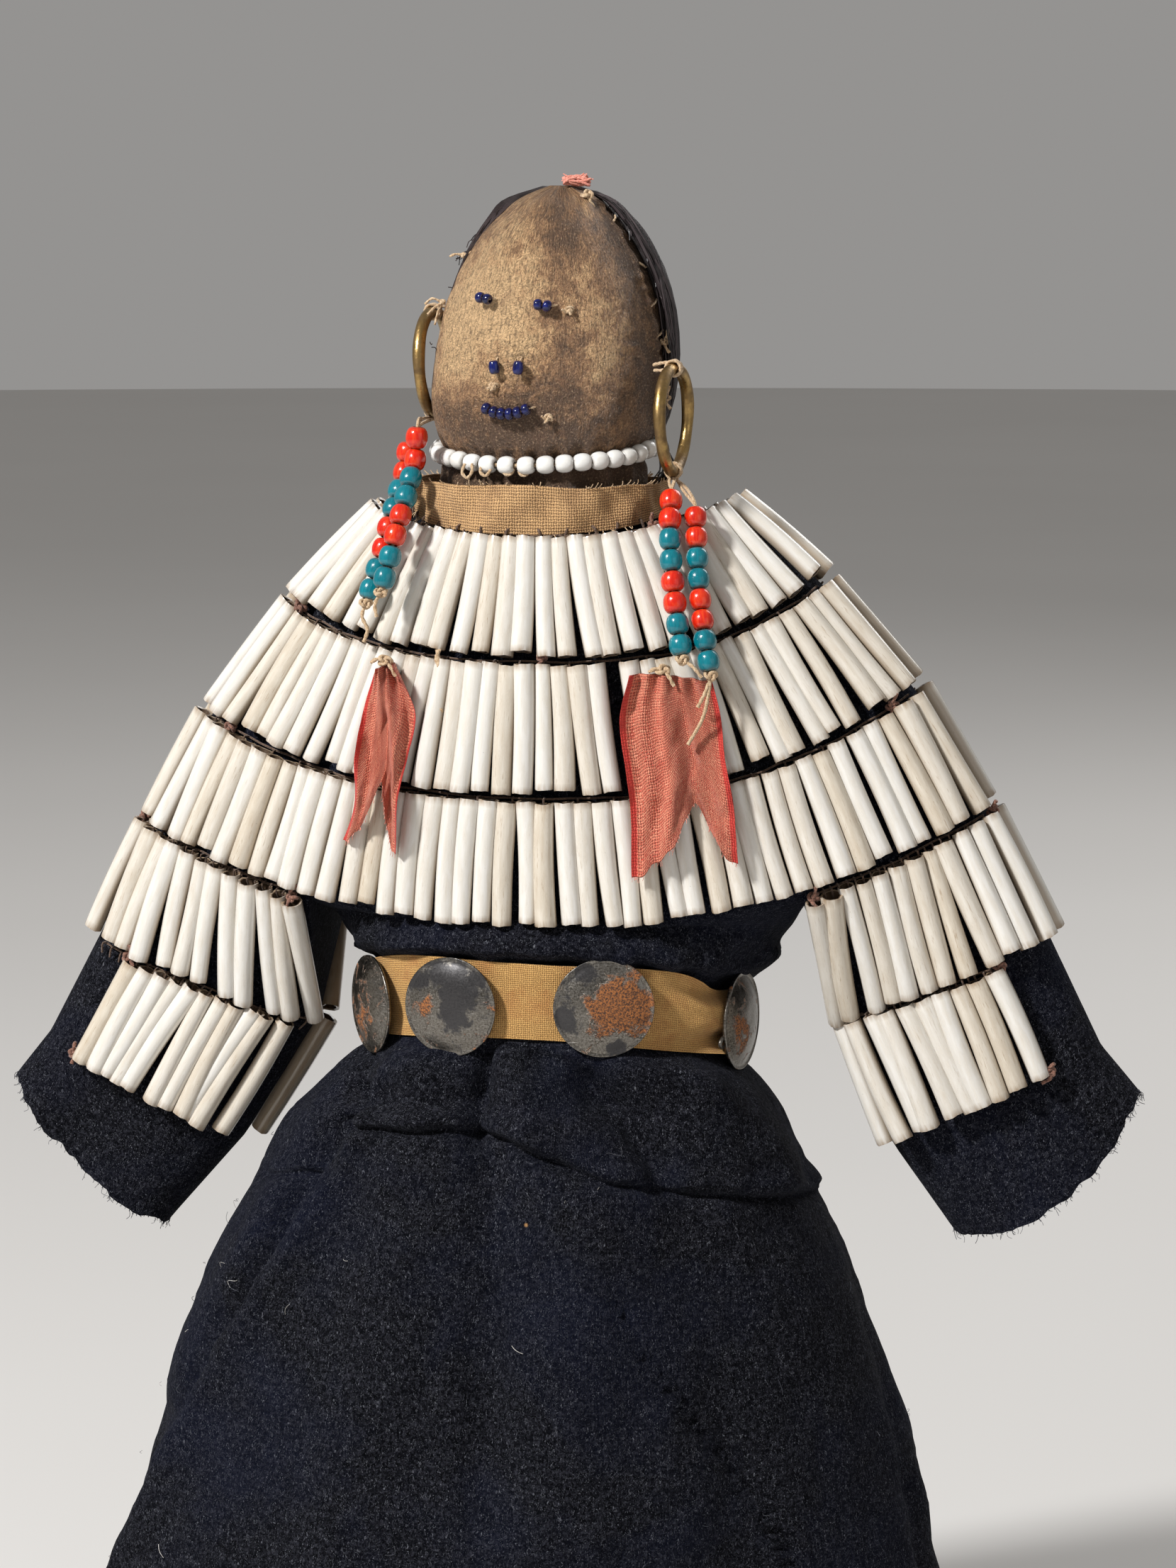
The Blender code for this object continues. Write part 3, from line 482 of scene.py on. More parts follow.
class Net:
    """A node tree, with a method for each kind of step its materials take."""

    def __init__(self, tree):
        self.tree = tree

    def node(self, kind, values=(), **settings):
        """A node with its settings, and its inputs linked to sockets or given plain values."""
        made = self.tree.nodes.new(kind)
        for key, value in settings.items():
            setattr(made, key, value)
        for key, value in dict(values).items():
            if isinstance(value, bpy.types.NodeSocket):
                self.tree.links.new(value, made.inputs[key])
            else:
                made.inputs[key].default_value = value
        return made

    def place(self):
        """The place in metres on the piece."""
        return self.node("ShaderNodeTexCoord").outputs["Object"]

    def flat(self):
        """The place in millimetres on flat cloth."""
        return self.node("ShaderNodeUVMap", uv_map="flat").outputs[0]

    def tone(self):
        """The number that each grid or point has for itself."""
        return self.node("ShaderNodeAttribute", attribute_name="tone").outputs["Fac"]

    def lay(self):
        """The place in a grid's own frame."""
        return self.node("ShaderNodeAttribute", attribute_name="lay").outputs["Vector"]

    def math(self, operation, a, b=0.0, c=0.0):
        """One sum of up to three numbers."""
        return self.node("ShaderNodeMath", {0: a, 1: b, 2: c}, operation=operation).outputs[0]

    def stretch(self, vector, scale, turn=(0.0, 0.0, 0.0)):
        """The vector scaled and turned: a small scale draws a pattern out long."""
        values = {"Vector": vector, "Scale": scale, "Rotation": turn}
        return self.node("ShaderNodeMapping", values).outputs[0]

    def shift(self, vector, amount):
        """The vector moved by one number on every axis, so that each piece has its own pattern."""
        return self.moved(vector, amount, amount, amount)

    def moved(self, vector, x, y, z=0.0):
        """The vector moved along each axis."""
        by = self.node("ShaderNodeCombineXYZ", {0: x, 1: y, 2: z}).outputs[0]
        return self.node("ShaderNodeVectorMath", {0: vector, 1: by}, operation="ADD").outputs[0]

    def parts(self, vector):
        """The vector's three numbers."""
        return self.node("ShaderNodeSeparateXYZ", {0: vector}).outputs

    def noise(self, vector, scale, detail=3.0, rough=0.55, warp=0.0):
        """Cloudy noise, about 0.5 in the middle."""
        values = {"Vector": vector, "Scale": scale, "Detail": detail, "Roughness": rough, "Distortion": warp}
        return self.node("ShaderNodeTexNoise", values).outputs[0]

    def span(self, value, low, high, to_low=0.0, to_high=1.0):
        """The value's place between low and high, clamped and spread from to_low to to_high."""
        values = {"Value": value, "From Min": low, "From Max": high, "To Min": to_low, "To Max": to_high}
        return self.node("ShaderNodeMapRange", values).outputs[0]

    def mix(self, share, a, b):
        """Colour a turned into colour b by a share."""
        paint = lambda c: (*c, 1.0) if isinstance(c, tuple) and len(c) == 3 else c
        return self.node("ShaderNodeMix", {0: share, 6: paint(a), 7: paint(b)}, data_type="RGBA").outputs[2]

    def tint(self, base, mask, share, colour):
        """The base mixed towards a colour by a share of the mask."""
        return self.mix(self.math("MULTIPLY", mask, share), base, colour)

    def bump(self, height, depth, strength=1.0):
        """The normal of a surface raised by height, depth metres at 1."""
        values = {"Height": height, "Distance": depth, "Strength": strength}
        return self.node("ShaderNodeBump", values).outputs[0]

    def use(self, effect, **values):
        """One of the effects below, placed with its own values."""
        return self.node("ShaderNodeGroup", values, node_tree=effect).outputs


def effect(name, inputs, outputs, fill):
    """A shader node group: fill takes the net and the group's inputs and gives its outputs by name."""
    tree = bpy.data.node_groups.new(name, "ShaderNodeTree")
    for key, (kind, value) in inputs.items():
        socket = tree.interface.new_socket(name=key, in_out="INPUT", socket_type=kind)
        if value is not None:
            socket.default_value = value
    for key in outputs:
        tree.interface.new_socket(name=key, in_out="OUTPUT", socket_type="NodeSocketFloat")
    entry = tree.nodes.new("NodeGroupInput")
    leave = tree.nodes.new("NodeGroupOutput")
    for key, socket in fill(Net(tree), entry.outputs).items():
        tree.links.new(socket, leave.inputs[key])
    return tree


FLOAT, VECTOR = "NodeSocketFloat", "NodeSocketVector"


def fill_patches(net, given):
    """Soft-edged patches where noise passes from Low to High."""
    noise = net.noise(given["Vector"], given["Scale"], 5.0, given["Rough"], 0.4)
    return {"Mask": net.span(noise, given["Low"], given["High"])}


def fill_specks(net, given):
    """Round specks at the middles of a chosen share of random cells."""
    cell = net.node("ShaderNodeTexVoronoi", {"Vector": given["Vector"], "Scale": given["Scale"]})
    pick = net.node("ShaderNodeSeparateColor", {"Color": cell.outputs["Color"]}).outputs[0]
    chosen = net.math("LESS_THAN", pick, given["Share"])
    near = net.span(cell.outputs["Distance"], given["Size"], 0.0)
    return {"Mask": net.math("MULTIPLY", chosen, near)}


def fill_weave(net, given):
    """Plain weave: each thread is a sine across its own width, lifted where it passes over its neighbour."""
    parts = net.parts(given["Vector"])
    u = net.math("DIVIDE", parts[0], given["Pitch"])
    v = net.math("DIVIDE", parts[1], given["Pitch"])
    column, row = net.math("FLOOR", u), net.math("FLOOR", v)
    hump_u = net.math("SINE", net.math("MULTIPLY", net.math("FRACT", u), pi))
    hump_v = net.math("SINE", net.math("MULTIPLY", net.math("FRACT", v), pi))
    over_u = net.math("COSINE", net.math("MULTIPLY", net.math("ADD", net.math("SUBTRACT", v, 0.5), column), pi))
    over_v = net.math("COSINE", net.math("MULTIPLY", net.math("ADD", net.math("ADD", u, 0.5), row), pi))
    lift_u = net.math("MULTIPLY_ADD", over_u, 0.4, 0.6)
    lift_v = net.math("MULTIPLY_ADD", over_v, 0.4, 0.6)
    warp, weft = net.math("MULTIPLY", hump_u, lift_u), net.math("MULTIPLY", hump_v, lift_v)
    height = net.math("MAXIMUM", warp, weft)
    above = net.math("GREATER_THAN", warp, weft)
    return {"Height": height, "Gap": net.span(height, 0.62, 0.3), "Warp": above}


def fill_nap(net, given):
    """Felted fibres: curled noise, with finer grain over it."""
    curled = net.noise(given["Vector"], given["Scale"], 3.0, 0.6, given["Curl"])
    fine = net.noise(given["Vector"], net.math("MULTIPLY", given["Scale"], 2.7), 2.0, 0.5)
    return {"Height": net.math("MULTIPLY_ADD", fine, 0.4, net.math("MULTIPLY", curled, 0.6))}


PATCHES = effect("patches", {
    "Vector": (VECTOR, None), "Scale": (FLOAT, 50.0), "Rough": (FLOAT, 0.6),
    "Low": (FLOAT, 0.4), "High": (FLOAT, 0.6),
}, ("Mask",), fill_patches)
SPECKS = effect("specks", {
    "Vector": (VECTOR, None), "Scale": (FLOAT, 500.0), "Share": (FLOAT, 0.1), "Size": (FLOAT, 0.2),
}, ("Mask",), fill_specks)
WEAVE = effect("weave", {
    "Vector": (VECTOR, None), "Pitch": (FLOAT, 0.5),
}, ("Height", "Gap", "Warp"), fill_weave)
NAP = effect("nap", {
    "Vector": (VECTOR, None), "Scale": (FLOAT, 1000.0), "Curl": (FLOAT, 0.3),
}, ("Height",), fill_nap)


def material(name, **plain):
    """A Principled material, with what is the same all over set on its own sockets."""
    made = bpy.data.materials.new(name)
    made.use_nodes = True
    shader = made.node_tree.nodes["Principled BSDF"]
    for key, value in plain.items():
        socket = shader.inputs[key.replace("_", " ")]
        socket.default_value = (*value, 1.0) if isinstance(value, tuple) else value
    return made, Net(made.node_tree), shader


def wear(net, shader, colour=None, roughness=None, metallic=None, normal=None):
    """Links what changes over the surface to the shader."""
    for key, socket in {
        "Base Color": colour, "Roughness": roughness, "Metallic": metallic, "Normal": normal,
    }.items():
        if socket is not None:
            net.tree.links.new(socket, shader.inputs[key])


def wool_finish():
    """Felted navy-black wool: a nap of pale and dark fibres over faint rows of stitches, with dust, lint and
    a few tan specks."""
    made, net, shader = material(
        "felted wool", Roughness=0.95, Sheen_Weight=0.015, Sheen_Roughness=0.5, Sheen_Tint=(0.55, 0.6, 0.8),
        Specular_IOR_Level=0.06,
    )
    place = net.place()
    nap = net.use(NAP, Vector=place, Scale=1050.0, Curl=1.0)
    clumps = net.noise(place, 900.0, 4.0, 0.7, 0.4)
    weave = net.use(WEAVE, Vector=net.flat(), Pitch=0.95)
    flecks = net.span(net.noise(net.stretch(place, (1.0, 1.0, 0.5)), 2600.0, 2.0, 0.6, 1.6), 0.60, 0.70)
    dust = net.use(PATCHES, Vector=place, Scale=26.0, Low=0.45, High=0.7)
    base = net.mix(net.span(nap["Height"], 0.43, 0.60), (0.0002, 0.0003, 0.0008), (0.0240, 0.0247, 0.0325))
    base = net.mix(net.span(clumps, 0.56, 0.42, 0.0, 0.75), base, (0.0010, 0.0012, 0.0024))
    base = net.tint(base, weave["Gap"], 0.45, (0.0014, 0.0016, 0.0030))
    base = net.tint(base, flecks, 0.8, (0.120, 0.125, 0.145))
    base = net.tint(base, dust["Mask"], 0.35, (0.0065, 0.0095, 0.0270))
    lint = net.use(SPECKS, Vector=net.stretch(place, (1.0, 1.0, 0.5)), Scale=330.0, Share=0.03, Size=0.10)
    crumbs = net.use(SPECKS, Vector=place, Scale=90.0, Share=0.05, Size=0.05)
    base = net.tint(base, lint["Mask"], 0.6, (0.30, 0.31, 0.34))
    base = net.mix(crumbs["Mask"], base, (0.40, 0.22, 0.09))
    relief = net.math("MULTIPLY_ADD", clumps, 0.9, nap["Height"])
    relief = net.math("MULTIPLY_ADD", weave["Height"], 0.2, relief)
    wear(net, shader, base, normal=net.bump(relief, 0.00050))
    return made


def shell_finish():
    """Tusk shell: glossy cream to beige, with painted tan shade on its sides and back where two shells touch,
    brown streaks along it, grime at its ends, and painted dark shade inside its hollow ends."""
    made, net, shader = material("tusk shell", Coat_Weight=0.4, Coat_Roughness=0.12, Specular_IOR_Level=0.5)
    tone = net.tone()
    own = net.shift(net.lay(), net.math("MULTIPLY", tone, 97.0))
    _, crown, run = net.parts(net.lay())
    streaks = net.noise(net.stretch(own, (1.0, 1.0, 0.045)), 1.1, 3.0, 0.55, 0.2)
    lines = net.noise(net.stretch(own, (1.0, 1.0, 0.022)), 3.4, 3.0, 0.65)
    clean = net.mix(net.span(streaks, 0.35, 0.75), (0.70, 0.675, 0.63), (0.62, 0.575, 0.50))
    aged = net.mix(net.span(streaks, 0.3, 0.75), (0.60, 0.535, 0.435), (0.475, 0.395, 0.295))
    base = net.mix(net.span(tone, 0.35, 1.0), clean, aged)
    # Painted shade: the sides and back of each shell, away from its crown, turn tan, standing in for the shade
    # where two shells touch.
    side = net.span(net.math("MULTIPLY_ADD", streaks, 0.7, crown), 1.35, 0.25, 0.0, 0.7)
    base = net.mix(side, base, (0.36, 0.26, 0.16))
    dark = net.math("MULTIPLY", net.span(lines, 0.60, 0.68), net.span(tone, 0.2, 1.0, 0.08, 0.65))
    base = net.mix(dark, base, (0.30, 0.20, 0.115))
    pits = net.use(SPECKS, Vector=net.stretch(own, (1.0, 1.0, 0.25)), Scale=0.9, Share=0.03, Size=0.10)
    base = net.tint(base, pits["Mask"], 0.7, (0.13, 0.08, 0.045))
    ends = net.span(net.math("ABSOLUTE", net.math("SUBTRACT", run, 50.0)), 44.0, 50.0)
    base = net.tint(base, ends, net.span(streaks, 0.35, 0.65, 0.25, 0.85), (0.24, 0.155, 0.085))
    # Painted shade: the inside of each shell's hollow ends is coloured dark brown.
    inside = net.math("GREATER_THAN", net.math("ABSOLUTE", net.math("SUBTRACT", run, 50.0)), 60.0)
    base = net.mix(inside, base, (0.085, 0.055, 0.035))
    relief = net.math("MULTIPLY_ADD", streaks, 0.8, net.math("MULTIPLY", lines, 0.5))
    relief = net.math("SUBTRACT", relief, pits["Mask"])
    wear(net, shader, base, net.span(streaks, 0.3, 0.75, 0.16, 0.34), normal=net.bump(relief, 0.00005, 0.5))
    return made


def hide_finish():
    """Smoked hide: gold and grey-brown patches drawn by the tone of each point and broken up by noise, a web
    of fine creases with painted shade along them, and nap strokes that catch the light."""
    made, net, shader = material(
        "smoked hide", Sheen_Weight=0.06, Sheen_Roughness=0.5, Sheen_Tint=(1.0, 0.85, 0.65),
        Specular_IOR_Level=0.4,
    )
    lay, tone = net.lay(), net.tone()
    wide = net.noise(lay, 0.13, 5.0, 0.62, 0.6)
    patch = net.noise(lay, 0.42, 5.0, 0.68, 0.8)
    grain = net.noise(lay, 2.1, 5.0, 0.7, 0.4)
    strokes = net.noise(net.stretch(lay, (1.0, 0.28, 1.0), (0.0, 0.0, radians(38.0))), 1.9, 3.0, 0.6, 0.5)
    mask = net.math("ADD", tone, net.math("MULTIPLY_ADD", wide, 1.5, net.math("MULTIPLY", patch, 1.5)))
    base = net.mix(net.span(mask, 1.05, 1.75), (0.145, 0.080, 0.048), (0.60, 0.325, 0.158))
    base = net.mix(net.span(mask, 1.52, 2.05, 0.0, 0.95), base, (0.99, 0.65, 0.34))
    base = net.mix(net.span(grain, 0.48, 0.32, 0.0, 0.85), base, (0.065, 0.038, 0.024))
    base = net.mix(net.span(grain, 0.54, 0.68, 0.0, 0.6), base, (0.96, 0.68, 0.42))
    base = net.mix(net.span(strokes, 0.52, 0.36, 0.0, 0.55), base, (0.11, 0.068, 0.042))
    cracks = net.node("ShaderNodeTexVoronoi", {
        "Vector": net.moved(lay, patch, grain), "Scale": 0.8,
    }, feature="DISTANCE_TO_EDGE").outputs["Distance"]
    # Painted shade: the crease lines darken the hide's colour, as shade in the creases would.
    crease = net.math("MULTIPLY", net.span(cracks, 0.07, 0.0), net.span(wide, 0.38, 0.58, 0.15, 1.0))
    base = net.tint(base, crease, 0.28, (0.085, 0.050, 0.030))
    stain = net.use(PATCHES, Vector=lay, Scale=0.22, Low=0.60, High=0.70)
    base = net.tint(base, stain["Mask"], 0.35, (0.17, 0.070, 0.040))
    dots = net.use(SPECKS, Vector=lay, Scale=0.8, Share=0.10, Size=0.12)
    base = net.tint(base, dots["Mask"], 0.7, (0.05, 0.03, 0.02))
    relief = net.math("MULTIPLY_ADD", grain, 0.9, net.math("MULTIPLY_ADD", patch, 1.2, strokes))
    relief = net.math("SUBTRACT", relief, net.math("MULTIPLY", crease, 0.25))
    wear(net, shader, base, net.span(grain, 0.35, 0.66, 0.72, 0.30), normal=net.bump(relief, 0.0015))
    return made


def hair_finish():
    """Dark horsehair whose colour and gloss change from strand to strand: near black to purple-grey, with grey
    dust patches; the paler colour is partly a painted sheen.
    """
    made, net, shader = material("dark hair", Specular_IOR_Level=0.5)
    tone = net.tone()
    # Partly painted sheen: paler purple-grey strands and the grey patches below stand in for the hair's sheen
    # as well as its dust.
    base = net.mix(net.span(tone, 0.3, 1.0), (0.012, 0.009, 0.009), (0.075, 0.055, 0.058))
    dust = net.use(PATCHES, Vector=net.place(), Scale=180.0, Low=0.45, High=0.7)
    base = net.tint(base, dust["Mask"], 0.45, (0.13, 0.105, 0.105))
    fine = net.noise(net.place(), 4200.0, 2.0)
    wear(net, shader, base, net.span(tone, 0.0, 1.0, 0.38, 0.6), normal=net.bump(fine, 0.0001, 0.5))
    return made


def glass_finish(name, colour, light, dark, streak):
    """Wound glass: its colour drifts round the bead in streaks, with dirt at the hole and fine scratches."""
    made, net, shader = material(name, Coat_Weight=0.5, Coat_Roughness=0.04, Specular_IOR_Level=0.35)
    tone = net.tone()
    own = net.shift(net.lay(), net.math("MULTIPLY", tone, 53.0))
    swirl = net.noise(net.stretch(own, (1.0, 1.0, 0.3)), 0.9, 4.0, 0.6, 1.2)
    base = net.mix(net.span(swirl, 0.46, 0.7, 0.0, streak), colour, light)
    base = net.mix(net.span(swirl, 0.46, 0.28, 0.0, streak), base, dark)
    base = net.mix(net.span(tone, 0.0, 1.0, 0.0, 0.25), base, dark)
    hole = net.span(net.math("ABSOLUTE", net.parts(net.lay())[2]), 0.75, 1.0)
    dirt = net.use(PATCHES, Vector=own, Scale=0.8, Low=0.42, High=0.62)
    base = net.tint(base, hole, net.span(dirt["Mask"], 0.0, 1.0, 0.2, 0.8), (0.10, 0.06, 0.035))
    specks = net.use(SPECKS, Vector=own, Scale=1.9, Share=0.10, Size=0.10)
    base = net.tint(base, specks["Mask"], 0.6, (0.06, 0.04, 0.03))
    haze = net.noise(own, 3.0, 3.0)
    wear(net, shader, base, net.span(haze, 0.35, 0.7, 0.12, 0.34), normal=net.bump(haze, 0.00006, 0.5))
    return made


def brass_finish():
    """Old brass: brown where it is handled least, bright where it rubs."""
    made, net, shader = material("old brass")
    place = net.place()
    film = net.use(PATCHES, Vector=place, Scale=160.0, Low=0.38, High=0.62)
    fine = net.use(PATCHES, Vector=place, Scale=900.0, Low=0.40, High=0.65)
    base = net.mix(film["Mask"], (0.46, 0.30, 0.11), (0.17, 0.105, 0.045))
    base = net.tint(base, fine["Mask"], 0.35, (0.10, 0.07, 0.04))
    rough = net.math("MULTIPLY_ADD", film["Mask"], 0.22, net.span(fine["Mask"], 0.0, 1.0, 0.22, 0.36))
    metal = net.span(film["Mask"], 0.0, 1.0, 1.0, 0.8)
    wear(net, shader, base, rough, metal, net.bump(fine["Mask"], 0.00004, 0.6))
    return made


def steel_finish():
    """Domed steel: grey and scratched, with black tarnish and a crust of orange rust in patches. The third
    number of lay brings more rust where it is high and more tarnish where it is low."""
    made, net, shader = material("rusty steel")
    own = net.shift(net.lay(), net.math("MULTIPLY", net.tone(), 61.0))
    bias = net.parts(net.lay())[2]
    crust = net.span(net.math("ADD", net.noise(own, 0.30, 6.0, 0.72, 0.5), bias), 0.56, 0.66)
    tarnish = net.noise(net.shift(own, 40.0), 0.26, 6.0, 0.72, 0.5)
    black = net.span(net.math("SUBTRACT", tarnish, bias), 0.60, 0.70)
    grain = net.noise(own, 2.4, 5.0, 0.7)
    scratch = net.span(net.noise(net.stretch(own, (0.2, 5.0, 1.0), (0.0, 0.0, 0.6)), 1.4, 3.0), 0.62, 0.75)
    steel = net.mix(net.span(grain, 0.35, 0.7), (0.085, 0.075, 0.062), (0.30, 0.28, 0.25))
    steel = net.mix(scratch, steel, (0.52, 0.50, 0.47))
    pitted = net.use(SPECKS, Vector=own, Scale=1.6, Share=0.3, Size=0.25)
    steel = net.tint(steel, pitted["Mask"], 0.7, (0.05, 0.04, 0.035))
    steel = net.tint(steel, black, 0.9, (0.028, 0.027, 0.030))
    rust = net.mix(net.span(grain, 0.42, 0.58), (0.045, 0.018, 0.010), (0.38, 0.135, 0.034))
    base = net.mix(crust, steel, rust)
    metal = net.math("MULTIPLY", net.span(crust, 0.0, 1.0, 1.0, 0.05), net.span(black, 0.0, 1.0, 1.0, 0.55))
    rough = net.math("MULTIPLY_ADD", crust, 0.42, net.span(grain, 0.3, 0.7, 0.24, 0.42))
    crumbs = net.math("MULTIPLY_ADD", grain, 1.2, 0.3)
    relief = net.math("MULTIPLY_ADD", crust, crumbs, net.math("MULTIPLY", grain, 0.1))
    wear(net, shader, base, rough, metal, net.bump(relief, 0.00022, 0.9))
    return made


def cloth_finish(name, pitch, thread, other, gap, stain, stain_share, sheen=0.1, roughness=0.85):
    """Plain woven cloth: two thread colours that drift along each thread, dark gaps, and stains in patches."""
    made, net, shader = material(
        name, Roughness=roughness, Sheen_Weight=sheen, Sheen_Roughness=0.4, Specular_IOR_Level=0.3
    )
    flat = net.flat()
    drift = net.noise(flat, 0.9, 3.0)
    wavy = net.moved(flat, net.span(drift, 0.2, 0.8, -0.2, 0.2), net.span(drift, 0.2, 0.8, 0.15, -0.15))
    weave = net.use(WEAVE, Vector=wavy, Pitch=pitch)
    along_warp = net.noise(net.stretch(flat, (2.2 / pitch, 0.25, 1.0)), 1.0, 3.0, 0.6)
    along_weft = net.noise(net.stretch(flat, (0.25, 2.2 / pitch, 1.0)), 1.0, 3.0, 0.6)
    warp = net.mix(net.span(along_warp, 0.3, 0.7), thread, other)
    weft = net.mix(net.span(along_weft, 0.3, 0.7), other, thread)
    base = net.mix(weave["Warp"], weft, warp)
    spots = net.use(PATCHES, Vector=flat, Scale=0.16, Low=0.48, High=0.74, Rough=0.62)
    base = net.tint(base, spots["Mask"], stain_share, stain)
    base = net.tint(base, weave["Gap"], 0.85, gap)
    wear(net, shader, base, normal=net.bump(weave["Height"], 0.00045 * pitch, 0.9))
    return made, net, shader, base


def ribbon_finish():
    """Coral taffeta with cream flecks where the weft shows, and deeper red selvages."""
    made, net, shader, base = cloth_finish(
        "coral ribbon", 0.56, (0.46, 0.036, 0.020), (0.84, 0.360, 0.220), (0.16, 0.010, 0.008),
        (0.42, 0.050, 0.028), 0.6, sheen=0.08, roughness=0.6,
    )
    flat = net.flat()
    flecks = net.span(net.noise(net.stretch(flat, (1.6, 5.0, 1.0)), 1.5, 2.0, 0.5), 0.60, 0.70)
    base = net.tint(base, flecks, 0.55, (0.86, 0.56, 0.38))
    edge = net.span(net.tone(), 1.5, 1.1)
    base = net.tint(base, edge, 0.9, (0.50, 0.028, 0.022))
    net.tree.links.new(base, shader.inputs["Base Color"])
    return made


def thread_finish(name, dark, light):
    """Spun thread: fibres in fine noise from dark to light, with dirt in patches."""
    made, net, shader = material(
        name, Roughness=0.88, Sheen_Weight=0.2, Sheen_Roughness=0.5, Specular_IOR_Level=0.3
    )
    grain = net.noise(net.shift(net.place(), net.tone()), 2700.0, 4.0, 0.65)
    base = net.mix(net.span(grain, 0.35, 0.66), dark, light)
    dirt = net.use(PATCHES, Vector=net.place(), Scale=240.0, Low=0.45, High=0.7)
    base = net.tint(base, dirt["Mask"], 0.35, dark)
    wear(net, shader, base, normal=net.bump(grain, 0.00025, 0.9))
    return made


WOOL = wool_finish()
SHELL = shell_finish()
HIDE = hide_finish()
HAIR = hair_finish()
RED = glass_finish("red glass", (0.62, 0.014, 0.003), (0.82, 0.115, 0.022), (0.30, 0.006, 0.003), 0.55)
TEAL = glass_finish("teal glass", (0.001, 0.155, 0.195), (0.004, 0.25, 0.30), (0.001, 0.070, 0.095), 0.5)
COBALT = glass_finish(
    "cobalt glass", (0.0012, 0.0035, 0.050), (0.004, 0.015, 0.19), (0.0005, 0.001, 0.012), 0.8
)
WHITE = glass_finish("white glass", (0.74, 0.73, 0.70), (0.80, 0.79, 0.77), (0.60, 0.55, 0.46), 0.5)
BRASS = brass_finish()
STEEL = steel_finish()
GAUZE_PITCH = 0.56
GAUZE = cloth_finish(
    "tan gauze", GAUZE_PITCH, (0.64, 0.395, 0.185), (0.47, 0.275, 0.125), (0.125, 0.070, 0.034),
    (0.25, 0.135, 0.066), 0.7,
)[0]
TAPE = cloth_finish(
    "ochre tape", 0.46, (0.49, 0.265, 0.080), (0.62, 0.375, 0.135), (0.20, 0.095, 0.030),
    (0.36, 0.135, 0.040), 0.75,
)[0]
RIBBON = ribbon_finish()
STRING = thread_finish("tan string", (0.36, 0.22, 0.11), (0.70, 0.54, 0.36))
SINEW = thread_finish("brown sinew", (0.045, 0.028, 0.022), (0.20, 0.12, 0.075))
YARN = thread_finish("faded brown yarn", (0.10, 0.045, 0.030), (0.34, 0.17, 0.12))
PINK = thread_finish("pink yarn", (0.55, 0.16, 0.11), (0.85, 0.42, 0.33))
FIBRE = thread_finish("dark fibre", (0.012, 0.013, 0.020), (0.075, 0.080, 0.100))
PALE = thread_finish("pale lint", (0.30, 0.28, 0.25), (0.62, 0.60, 0.58))


# Dress

def round_body(count):
    """Angles round the body, with the place on the front or back surface that each one meets."""
    turn = circle(count, -pi)
    front = turn < 0
    place = np.where(front, (turn + pi / 2) / (pi / 2), 1.0 - turn / (pi / 2))
    return turn, front, np.clip(place, -1.0, 1.0)


# Folds and creases of the skirt's front, as lines of the view: stops across and up, height, width
SKIRT_LINES = (
    (((-42.8, 163), (-50.4, 149), (-60, 132), (-71, 115), (-83, 93), (-96, 65), (-111, 30),
      (-119, 4)), 2.6, 3.4),
    (((-45.5, 168), (-55.5, 151), (-65.5, 133), (-76.6, 116), (-88.6, 94), (-101.5, 64),
      (-115, 30)), -5.4, 2.8),
    (((-66, 149.5), (-58, 151), (-50.5, 149.5)), -1.6, 1.0),
    (((-63, 146), (-75, 122), (-89, 88), (-104, 48)), 1.2, 3.0),
    (((-41.8, 179), (-44.6, 167.5), (-49, 153)), -2.8, 2.0),
    (((-29.5, 174), (-30, 167)), 3.6, 5.6),
    (((-15.6, 180), (-17.0, 171), (-18.3, 160)), -4.0, 2.0),
    (((-8, 176), (-7, 164)), 3.0, 4.2),
    (((-49, 162.3), (-36, 161.7), (-24, 162.5), (-11.6, 160.8), (0, 156.3), (11, 152.6), (22, 150.5),
      (37, 149.8), (50, 149.4), (60, 149)), -2.2, 0.95),
    (((-49, 165), (-36, 164.6), (-24, 165.4), (-11, 163.6), (1, 159.3), (12, 155.6), (23, 153.6),
      (38, 153), (50, 152.6), (59, 152)), 1.3, 1.8),
    (((-5, 178), (7, 173), (16.5, 165), (23, 155)), -6.0, 4.2),
    (((17, 181), (29, 176), (40, 167), (48, 156)), 4.2, 5.6),
    (((20, 180), (31, 171.5), (40, 162)), -1.8, 1.8),
    (((46, 176), (52, 165), (55, 154)), -1.4, 2.4),
    (((-14, 157), (-15, 142), (-15.5, 118), (-17, 80)), -3.0, 5.0),
    (((-32, 156), (-37, 130), (-46, 90), (-54, 40)), 2.4, 9.0),
    (((8, 148), (4, 120), (-2, 70), (-6, 20)), 2.2, 9.0),
    (((30, 146), (36, 110), (42, 60), (46, 10)), -2.2, 8.0),
    (((60.5, 149), (66, 134), (71, 117), (76.7, 93), (82, 65), (88, 30), (92, 2)), -2.2, 1.4),
    (((63.5, 149), (69, 134), (74, 117), (79.7, 93), (85, 65), (91, 30), (95, 2)), 1.5, 1.5),
)
MEND_LINE = ((11, 130), (16.4, 119), (24, 110.4), (32.5, 99.6), (41, 89), (50, 74), (55, 60))


def in_view(points):
    """Where points meet the view: across and up, in millimetres at the doll's middle."""
    return np.stack([
        points[..., 0] + VIEW_SLANT[0] * points[..., 1], points[..., 2] + VIEW_SLANT[1] * points[..., 1],
    ], -1)


def line_reach(seen, stops):
    """How far each seen place is from a line of stops."""
    stops = np.asarray(stops, float)
    nearest = np.full(seen.shape[:-1], 1e9)
    for start, end in zip(stops[:-1], stops[1:]):
        span = end - start
        share = np.clip(((seen - start) @ span) / (span @ span), 0.0, 1.0)
        nearest = np.minimum(nearest, np.linalg.norm(seen - start - share[..., None] * span, axis=-1))
    return nearest


